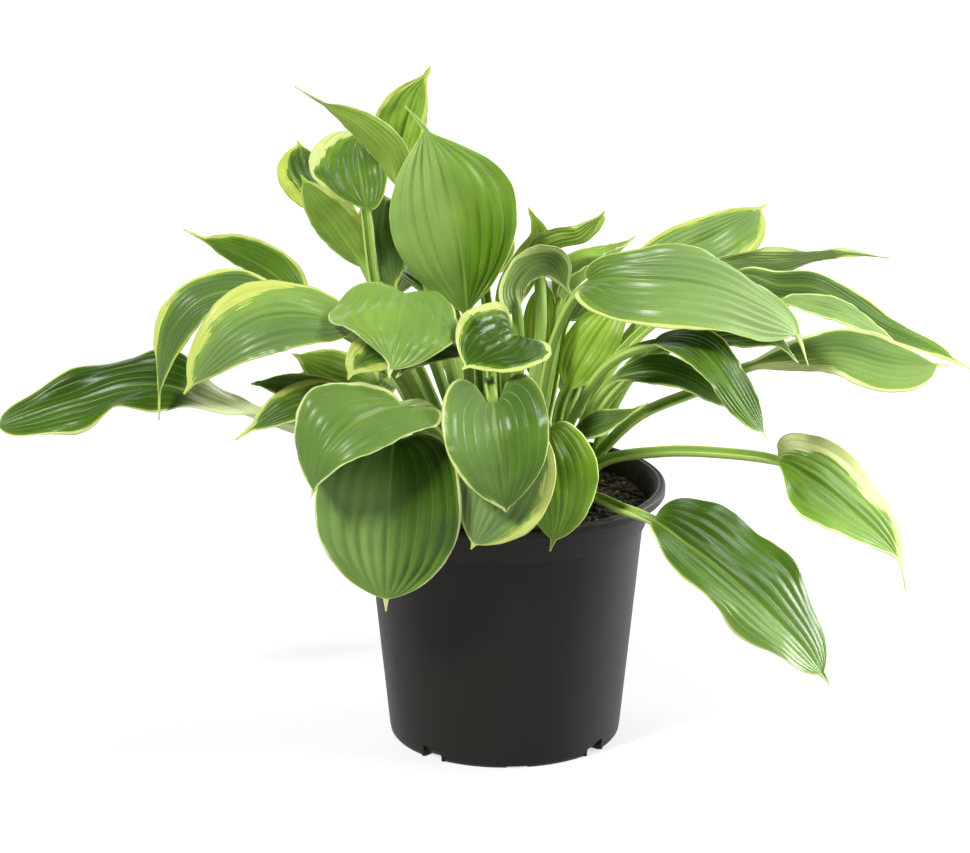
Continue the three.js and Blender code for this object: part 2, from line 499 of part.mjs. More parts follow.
  back_high_left: {
    foot: [-10, 26], inMillimetres: true, stalk: [[-20, 54, 216]],
    rib: [[-36, 82, 260], [-45, 100, 270], [-55, 120, 269], [-65, 138, 257], [-73, 154, 237]],
    face: [-0.35, 0.85, -0.4], belly: 0.4, rise: 0.57, taper: 0.85, lobe: 14,
    left: { half: 25, fold: [12, 4], curl: [-16, -10] },
    right: { half: 25, fold: [12, 4], curl: [-16, -10] },
    wave: [1.6, 2, 0.1],
  },
};

// What a leaf's own entry leaves out.
const PLAIN_LEAF = {
  twist: [0, 0], stalkHalf: 3.6, rise: 0.55, taper: 0.8, drip: 0.06, across: 5, bladeSteps: 8, stalkSteps: 5,
};

// The half width of a blade as a share of its widest: it rises from the base to the belly, and tapers from
// there to where the drip tip begins.
function outline(along, { belly, rise, taper, drip }) {
  const share = Math.min(along / (1 - drip), 1);
  const near = share < belly ? share / belly : (1 - share) / (1 - belly);
  return (near * (2 - near)) ** (share < belly ? rise : taper);
}

// A leaf's centre line from under the soil to the tip, with a steady frame: at each station, the place, the
// way to the tip, the way that the upper side faces, and how far along the blade it is (under 0 on the
// stalk).
function centreLine(leaf) {
  const foot = new THREE.Vector3(leaf.foot[0], leaf.foot[1], SOIL_TOP);
  const toSpace = leaf.inMillimetres ? (at) => new THREE.Vector3(...at) : place;
  const above = [...leaf.stalk, ...leaf.rib].map(toSpace);
  const rise = above[0].clone().sub(foot).normalize().add(new THREE.Vector3(0, 0, 1.5)).normalize();
  const buried = foot.clone().addScaledVector(rise, -BURIED);
  const points = [buried, foot, foot.clone().addScaledVector(rise, COLLAR_RISE), ...above];
  const curve = new THREE.CatmullRomCurve3(points, false, "centripetal");
  const lengths = curve.getLengths(STATIONS);
  const total = lengths[STATIONS];
  const baseStep = ((points.length - leaf.rib.length) / (points.length - 1)) * STATIONS;
  const low = Math.floor(baseStep);
  const baseLength = mix(lengths[low], lengths[Math.min(low + 1, STATIONS)], baseStep - low);
  const stations = [];
  for (let i = 0; i <= STATIONS; i++) {
    const t = i / STATIONS;
    stations.push({
      place: curve.getPoint(t),
      ahead: curve.getTangent(t),
      along: (lengths[i] - baseLength) / (total - baseLength),
      risen: lengths[i],
    });
  }
  const middle = stations.findIndex((s) => s.along > MID_BLADE);
  carryFacing(stations, middle, facing(leaf.face), 1);
  carryFacing(stations, middle, facing(leaf.face), -1);
  return stations;
}
const STATIONS = 240;
const MID_BLADE = 0.45;

// Carries the upper side's direction from one station along the line without letting it turn about the line.
function carryFacing(stations, from, direction, step) {
  const up = direction.clone();
  for (let i = from; i >= 0 && i < stations.length; i += step) {
    up.addScaledVector(stations[i].ahead, -up.dot(stations[i].ahead)).normalize();
    stations[i].up = up.clone();
  }
}

// The station at a given place along the blade.
function stationAt(stations, along) {
  let i = stations.findIndex((s) => s.along >= along);
  if (i < 0) i = stations.length - 1;
  if (i === 0) return stations[0];
  const [a, b] = [stations[i - 1], stations[i]];
  const share = (along - a.along) / (b.along - a.along);
  return {
    place: a.place.clone().lerp(b.place, share),
    ahead: a.ahead.clone().lerp(b.ahead, share).normalize(),
    up: a.up.clone().lerp(b.up, share).normalize(),
    along,
    risen: mix(a.risen, b.risen, share),
  };
}

// One row across the leaf: its upper and lower points from the left edge to the right edge.
function section(leaf, station) {
  const along = Math.max(station.along, 0);
  const blade = smoothstep(station.along, BLADE_BEGINS, BLADE_FULL);
  const turn = radians(mix(leaf.twist[0], leaf.twist[1], along));
  const up = station.up.clone().applyAxisAngle(station.ahead, turn);
  const side = station.ahead.clone().cross(up);
  const stalkHalf = mix(FOOT_HALF_WIDTH, leaf.stalkHalf, smoothstep(station.risen, BURIED + 4, BURIED * 4))
    * (1 - along) ** 2;
  const midribThickness = mix(RIB_THICKNESS, BLADE_THICKNESS, Math.min(1, along * 2));
  const ribThickness = mix(STALK_THICKNESS, midribThickness, blade);
  const edgeThickness = mix(STALK_EDGE, BLADE_THICKNESS, blade);
  const upper = [];
  const lower = [];
  for (let i = 0; i < leaf.across; i++) {
    const s = (2 * i) / (leaf.across - 1) - 1;
    const shape = { ...leaf, ...(s < 0 ? leaf.left : leaf.right) };
    const { half, fold, curl } = shape;
    const out = Math.abs(s);
    const spread = half * outline(Math.min(along, 1), shape);
    const tail = DRIP_HALF_WIDTH * Math.min((1 - along) / leaf.drip, 1) ** 0.8;
    const width = Math.max((stalkHalf ** 4 + spread ** 4 + tail ** 4) ** 0.25, TIP_HALF_WIDTH);
    const start = radians(mix(STALK_FOLD, mix(fold[0], fold[1], along), blade));
    const bend = radians(mix(STALK_CURL, mix(curl[0], curl[1], along), blade)) || 1e-4;
    const wide = (width / bend) * (Math.sin(start + bend * out) - Math.sin(start));
    const [amplitude, count, phase] = leaf.wave;
    const ripple = amplitude * out ** 3 * Math.sin(2 * Math.PI * (count * along + phase + (s < 0 ? 0.5 : 0)));
    const high = (width / bend) * (Math.cos(start) - Math.cos(start + bend * out))
      + ripple * Math.sin(Math.PI * along) * blade;
    const back = -shape.lobe * out ** 2 * (spread / half) * (1 - along) ** LOBE_FADE;
    const angle = start + bend * out;
    const sign = Math.sign(s);
    const point = station.place.clone()
      .addScaledVector(side, sign * wide).addScaledVector(up, high).addScaledVector(station.ahead, back);
    const normal = up.clone().multiplyScalar(Math.cos(angle)).addScaledVector(side, -sign * Math.sin(angle));
    const thick = mix(edgeThickness, ribThickness, Math.exp(-((out * width) ** 2) / RIB_SPREAD ** 2));
    upper.push(point.clone().addScaledVector(normal, BLADE_THICKNESS / 2));
    lower.push(point.clone().addScaledVector(normal, BLADE_THICKNESS / 2 - thick));
  }
  return { upper, lower };
}
const RIB_SPREAD = 2.6;

// Places along the blade that the solid has a row at: close together at the base and the tip.
function bladeRows(count) {
  return Array.from({ length: count + 1 }, (_, i) => {
    const even = i / count;
    return mix(even, (1 - Math.cos(Math.PI * even)) / 2, ROW_CROWDING);
  });
}
const ROW_CROWDING = 0.55;

// A leaf as one closed mesh: the rows joined into an upper and a lower face, edges, and a cap at each end.
function leafGeometry(leaf) {
  const stations = centreLine(leaf);
  const foot = stations[0].along;
  const rows = [];
  const collar = foot + ((BURIED + COLLAR_RISE) * (1 - foot)) / stations.at(-1).risen;
  rows.push(foot);
  for (let i = 0; i + 1 < leaf.stalkSteps; i++) rows.push(collar * (1 - i / (leaf.stalkSteps - 1)));
  rows.push(...bladeRows(leaf.bladeSteps));
  const sections = rows.map((along) => section(leaf, stationAt(stations, along)));
  const n = leaf.across;
  const points = sections.flatMap(({ upper, lower }) => [...upper, ...lower]);
  const positions = points.flatMap((p) => [p.x, p.y, p.z]);
  const up = (row, i) => row * 2 * n + i;
  const down = (row, i) => row * 2 * n + n + i;
  const faces = [];
  const quad = (a, b, c, d) => faces.push(a, b, c, a, c, d);
  for (let row = 0; row + 1 < sections.length; row++) {
    for (let i = 0; i + 1 < n; i++) {
      quad(up(row, i), up(row, i + 1), up(row + 1, i + 1), up(row + 1, i));
      faces.push(down(row, i), down(row + 1, i + 1), down(row, i + 1));
      faces.push(down(row, i), down(row + 1, i), down(row + 1, i + 1));
    }
    quad(down(row, n - 1), down(row + 1, n - 1), up(row + 1, n - 1), up(row, n - 1));
    quad(up(row, 0), up(row + 1, 0), down(row + 1, 0), down(row, 0));
  }
  const last = sections.length - 1;
  for (let i = 0; i + 1 < n; i++) {
    quad(down(0, i), down(0, i + 1), up(0, i + 1), up(0, i));
    quad(up(last, i), up(last, i + 1), down(last, i + 1), down(last, i));
  }
  const geometry = new THREE.BufferGeometry();
  geometry.setAttribute("position", new THREE.Float32BufferAttribute(positions, 3));
  geometry.setIndex(faces);
  return geometry;
}

// A closed mesh as a solid that can be cut.
function solid(geometry) {
  const bare = geometry.index ? geometry.toNonIndexed() : geometry.clone();
  bare.deleteAttribute("normal");
  bare.deleteAttribute("uv");
  const merged = mergeVertices(bare, 1e-4);
  return new wasm.Manifold(new wasm.Mesh({
    numProp: 3,
    vertProperties: new Float32Array(merged.attributes.position.array),
    triVerts: new Uint32Array(merged.index.array),
  }));
}

// A solid back as a mesh.
function geometryOf(made) {
  const mesh = made.getMesh();
  const geometry = new THREE.BufferGeometry();
  geometry.setAttribute("position", new THREE.Float32BufferAttribute(mesh.vertProperties, 3));
  geometry.setIndex(new THREE.Uint32BufferAttribute(mesh.triVerts, 1));
  return geometry;
}

// Turns a profile of [radius, height] points about the Z axis.
function turned(profile, sides) {
  const geometry = new THREE.LatheGeometry(profile.map(([r, z]) => new THREE.Vector2(r, z)), sides);
  return geometry.rotateX(Math.PI / 2);
}

// The radius of the pot's tapered outer wall at a height.
function wallRadius(height) {
  return mix(WALL_FOOT_RADIUS, WALL_TOP_RADIUS, (height - FOOT_ROUND) / (COLLAR_FOOT - FOOT_ROUND));
}

// Blocks set into the foot from outside at even turns: the pot's notches, or with a margin what surrounds
// them.
function footBlocks({ count, turn, width, height, depth }, margin) {
  return Array.from({ length: count }, (_, i) => {
    const box = new THREE.BoxGeometry(width + 2 * margin, depth + margin, height + margin + 1);
    box.translate(0, (depth + margin) / 2 - WALL_FOOT_RADIUS - 4, (height + margin - 1) / 2);
    return solid(box.rotateZ(radians(turn + (360 * i) / count)));
  });
}

// The radius of the flared collar's outside at a height.
function collarRadius(height) {
  const share = (height - COLLAR_FOOT) / (POT_HEIGHT - LIP_HEIGHT - COLLAR_FOOT);
  return mix(COLLAR_FOOT_RADIUS, COLLAR_RADIUS, share);
}

// The pot's inner surface, from its floor up to its collar, drawn in by a clearance.
function insideProfile(clearance) {
  const wall = WALL + clearance;
  return [
    [0, wall], [WALL_FOOT_RADIUS - wall - 3, wall], [wallRadius(FOOT_ROUND) - wall, wall + 4],
    [wallRadius(WALL_MIDDLE) - wall, WALL_MIDDLE], [WALL_TOP_RADIUS - wall, COLLAR_FOOT],
    [collarRadius(COLLAR_FOOT + WALL) - wall, COLLAR_FOOT + WALL],
  ];
}

function potGeometry() {
  const lipFoot = POT_HEIGHT - LIP_HEIGHT;
  const outside = [
    [0, 0], [FOOT_RADIUS, 0], [FOOT_RADIUS + 1.7, 2],
    [WALL_FOOT_RADIUS, FOOT_ROUND], [wallRadius(WALL_MIDDLE), WALL_MIDDLE], [WALL_TOP_RADIUS, COLLAR_FOOT],
    [COLLAR_FOOT_RADIUS, COLLAR_FOOT], [COLLAR_RADIUS, lipFoot], [LIP_RADIUS - 0.8, lipFoot],
    [LIP_RADIUS, lipFoot + 1.2], [LIP_RADIUS, POT_HEIGHT - 2], [LIP_RADIUS - 1.5, POT_HEIGHT],
  ];
  const mouth = [
    [MOUTH_RADIUS + 1, POT_HEIGHT], [MOUTH_RADIUS - 1, POT_HEIGHT - 2.5],
    [collarRadius(lipFoot - 2) - WALL, lipFoot - 2],
  ];
  let pot = solid(turned([...outside, ...mouth, ...insideProfile(0).reverse()], POT_SIDES));
  const filled = solid(turned([...outside, [0, POT_HEIGHT]], POT_SIDES));
  for (const cover of footBlocks(DRAIN_NOTCH, WALL)) pot = pot.add(cover.intersect(filled));
  for (const cut of [...footBlocks(DRAIN_NOTCH, 0), ...footBlocks(GATE_NOTCH, 0)]) pot = pot.subtract(cut);
  return geometryOf(pot);
}

// A smooth bumpiness of the soil's top at a place.
function soilBump(x, y) {
  return SOIL_ROUGHNESS * (Math.sin(x * 0.11 + 1.3) * Math.cos(y * 0.13) + Math.sin(x * 0.07 - y * 0.09));
}

function soilGeometry(leaves) {
  const inner = collarRadius(SOIL_TOP - 2) - WALL - SEAT_GAP;
  const top = [[inner, SOIL_TOP - 2], ...SOIL_RINGS.map((radius) => [radius, SOIL_TOP])];
  const profile = [...insideProfile(SEAT_GAP), ...top];
  const geometry = turned(profile, POT_SIDES);
  const position = geometry.attributes.position;
  for (let i = 0; i < position.count; i++) {
    const [x, y, z] = [position.getX(i), position.getY(i), position.getZ(i)];
    const inward = 1 - Math.hypot(x, y) / inner;
    if (z > SOIL_TOP - 3) position.setZ(i, z + (SOIL_MOUND * inward + soilBump(x, y)) * inward);
  }
  let soil = solid(geometry);
  for (const cover of footBlocks(DRAIN_NOTCH, WALL + SEAT_GAP)) soil = soil.subtract(cover);
  for (const leaf of leaves) soil = soil.subtract(stalkHole(leaf));
  return geometryOf(soil);
}

// A plain round hole along the buried end of a leaf's stalk.
function stalkHole(leaf) {
  const stations = centreLine(leaf);
  const bottom = stations[0].place.clone();
  const ahead = stations[0].ahead;
  const length = BURIED + SEAT_GAP + SOIL_MOUND * 3;
  const hole = new THREE.CylinderGeometry(STALK_HOLE_RADIUS, STALK_HOLE_RADIUS, length, STALK_HOLE_SIDES);
  hole.translate(0, length / 2 - SEAT_GAP, 0);
  hole.applyQuaternion(new THREE.Quaternion().setFromUnitVectors(new THREE.Vector3(0, 1, 0), ahead));
  return solid(hole.translate(bottom.x, bottom.y, bottom.z));
}

function piece(name, geometry, material) {
  const mesh = new THREE.Mesh(geometry, material);
  mesh.name = name;
  return mesh;
}

const potPlastic = new THREE.MeshStandardMaterial({ color: 0x2b2a27, roughness: 0.5 });
const pottingSoil = new THREE.MeshStandardMaterial({ color: 0x1e1611, roughness: 0.95 });
const leafGreen = new THREE.MeshStandardMaterial({ color: 0x5f9a35, roughness: 0.45 });

const leaves = Object.entries(LEAVES).map(([name, own]) => ({ name, ...PLAIN_LEAF, ...own }));
const plant = new THREE.Group();
plant.add(piece("pot", potGeometry(), potPlastic));
plant.add(piece("soil", soilGeometry(leaves), pottingSoil));
for (const leaf of leaves) plant.add(piece(`leaf_${leaf.name}`, leafGeometry(leaf), leafGreen));

export default plant;
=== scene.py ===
# A potted hosta, dressed for rendering: fine leaves with ribbed blades and pale edges, the crumbly soil,
# and the satin pot. The leaves are drawn from the same named values as the solid model, in millimetres.
import math

import bpy
import numpy as np
from mathutils import Euler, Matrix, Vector


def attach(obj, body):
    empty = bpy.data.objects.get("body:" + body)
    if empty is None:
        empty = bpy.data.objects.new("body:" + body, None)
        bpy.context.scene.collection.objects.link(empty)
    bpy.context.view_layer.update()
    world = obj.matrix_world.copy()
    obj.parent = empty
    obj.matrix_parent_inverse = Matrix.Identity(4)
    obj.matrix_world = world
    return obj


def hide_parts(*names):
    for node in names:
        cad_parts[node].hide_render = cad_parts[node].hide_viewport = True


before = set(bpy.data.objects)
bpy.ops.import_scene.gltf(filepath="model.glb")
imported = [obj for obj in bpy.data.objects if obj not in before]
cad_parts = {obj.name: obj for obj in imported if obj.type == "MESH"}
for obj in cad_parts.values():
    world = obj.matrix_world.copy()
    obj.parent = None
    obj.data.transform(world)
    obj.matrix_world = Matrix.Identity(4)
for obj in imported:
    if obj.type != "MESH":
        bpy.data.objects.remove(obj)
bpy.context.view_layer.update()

MM = 0.001

# The pot: an 8 inch nursery pot with a lip, a wider collar under it and notches in its foot.
POT_HEIGHT = 164
LIP_RADIUS = 100
LIP_HEIGHT = 6.5
LIP_FOOT = POT_HEIGHT - LIP_HEIGHT
LIP_GROOVE = 97.4
MOUTH_RADIUS = 94.5
COLLAR_RADIUS = 92.5
COLLAR_FOOT_RADIUS = 88
COLLAR_FOOT = 139
WALL_TOP_RADIUS = 86.3
WALL_MIDDLE = 80
WALL_FOOT_RADIUS = 72.5
FOOT_RADIUS = 70
WALL = 1.8
FOOT_ROUND = 6
POT_SIDES = 192
POT_SHARP_ANGLE = 32
NOTCH_TURN = 6
NOTCH_CLEAR = 4
COVER_INSET = 1
COVER_FOOT = 0.5
DRAIN_NOTCH = {"count": 4, "turn": NOTCH_TURN + 45, "width": 14, "height": 8, "depth": 22}
GATE_NOTCH = {"count": 4, "turn": NOTCH_TURN, "width": 13, "height": 0.9, "depth": 12}

# The soil fills the pot to a little under the lip.
SOIL_TOP = 153
SOIL_MOUND = 2.5
SOIL_ROUGHNESS = 0.7
SOIL_SINKS_AT_WALL = 2
SOIL_RINGS = 80
SOIL_SIDES = 220
SEAT_GAP = 0.3

# Its lumps, in three sizes: height and size in mm, how pointed they are, and the seed of their noise.
SOIL_LUMPS = ((1.6, 7, 1, 3), (1.3, 3.1, 2, 5), (0.8, 1.3, 1, 8))
SOIL_LUMP_LEVEL = 1.6

# Loose bits lie on the soil out to the first radius, and no corner of one goes past the second.
BITS_REACH = 85
BITS_LIMIT = 86.5

# Every stalk starts so far under the soil, and rises straight for the first few mm over it, more upright
# than the way to its first point.
BURIED = 12
COLLAR_RISE = 9
COLLAR_UPRIGHT = 1.5

# A stalk widens from its foot to its full width between these distances along it, in mm.
STALK_WIDENS = (BURIED + 4, BURIED * 4)

# The stalk's section is a thick channel, and the blade's a thin sheet on a rib. The one turns into the
# other from a little before the blade's base to a little after it, as shares of the blade's length.
STALK_FOLD = 34
STALK_CURL = 26
STALK_THICKNESS = 3.9
STALK_EDGE = 1.5
BLADE_THICKNESS = 0.75
RIB_THICKNESS = 2.4
RIB_SPREAD = 2.6
MARGIN_BEGINS = 0.8
MARGIN_THINNING = 0.55
TIP_HALF_WIDTH = 0.55
DRIP_HALF_WIDTH = 1.7
FOOT_HALF_WIDTH = 3.1
BLADE_BEGINS = -0.12
BLADE_FULL = 0.14
LOBE_FADE = 5
ROW_CROWDING = 0.55
STATIONS = 240
MID_BLADE = 0.45

# Finer than the solid: the channel over the midrib in mm, how many waves of each kind crimp a margin, and
# the seeds of the noise in the ribbing and the swells.
CHANNEL_DEPTH = 0.9
CHANNEL_SPREAD = 1.5
CRIMP_WAVES = (7.3, 12.1)
RIBBING_SEED = 21
SWELLS_SEED = 22

# The picture that the leaves are laid out in: what is seen from the front, looking a little down.
PICTURE_WIDTH = 970
PICTURE_HEIGHT = 853
PICTURE_PITCH = 17
PICTURE_DISTANCE = 3000
LIP_RADIUS_PIXELS = 160.5
MM_PER_PIXEL = LIP_RADIUS / LIP_RADIUS_PIXELS
POT_AXIS_PIXEL = 505
RIM_PIXEL = 481

PITCH = math.radians(PICTURE_PITCH)
LOOK = np.array([0.0, math.cos(PITCH), -math.sin(PITCH)])
VIEW_UP = np.array([0.0, math.sin(PITCH), math.cos(PITCH)])
VIEW_RIGHT = np.array([1.0, 0.0, 0.0])
FOCAL_PIXELS = PICTURE_DISTANCE / MM_PER_PIXEL
EYE = (
    np.array([0.0, 0.0, POT_HEIGHT])
    - (POT_AXIS_PIXEL - PICTURE_WIDTH / 2) * MM_PER_PIXEL * VIEW_RIGHT
    + (RIM_PIXEL - PICTURE_HEIGHT / 2) * MM_PER_PIXEL * VIEW_UP
    - PICTURE_DISTANCE * LOOK
)

# The studio: a white floor, in mm to each side, a dim white sky, and the width of the camera's film.
FLOOR_REACH = 9000
SKY_STRENGTH = 0.15
FILM_WIDTH = 36


def half(width, fold=(8, 4), curl=(0, 0), **own):
    """One half of a blade: its width in mm, its fold from the rib and its curl towards the margin in
    degrees, each at the base and at the tip, and any value of the shape that this half has for itself."""
    return {"half": width, "fold": fold, "curl": curl, **own}


def back_leaf(left, right, **own):
    """A leaf at the back, laid out in millimetres, whose halves differ only in width."""
    halves = {side: half(width, [12, 4], [-16, -10]) for side, width in (("left", left), ("right", right))}
    return {"in_millimetres": True, **halves, **own}


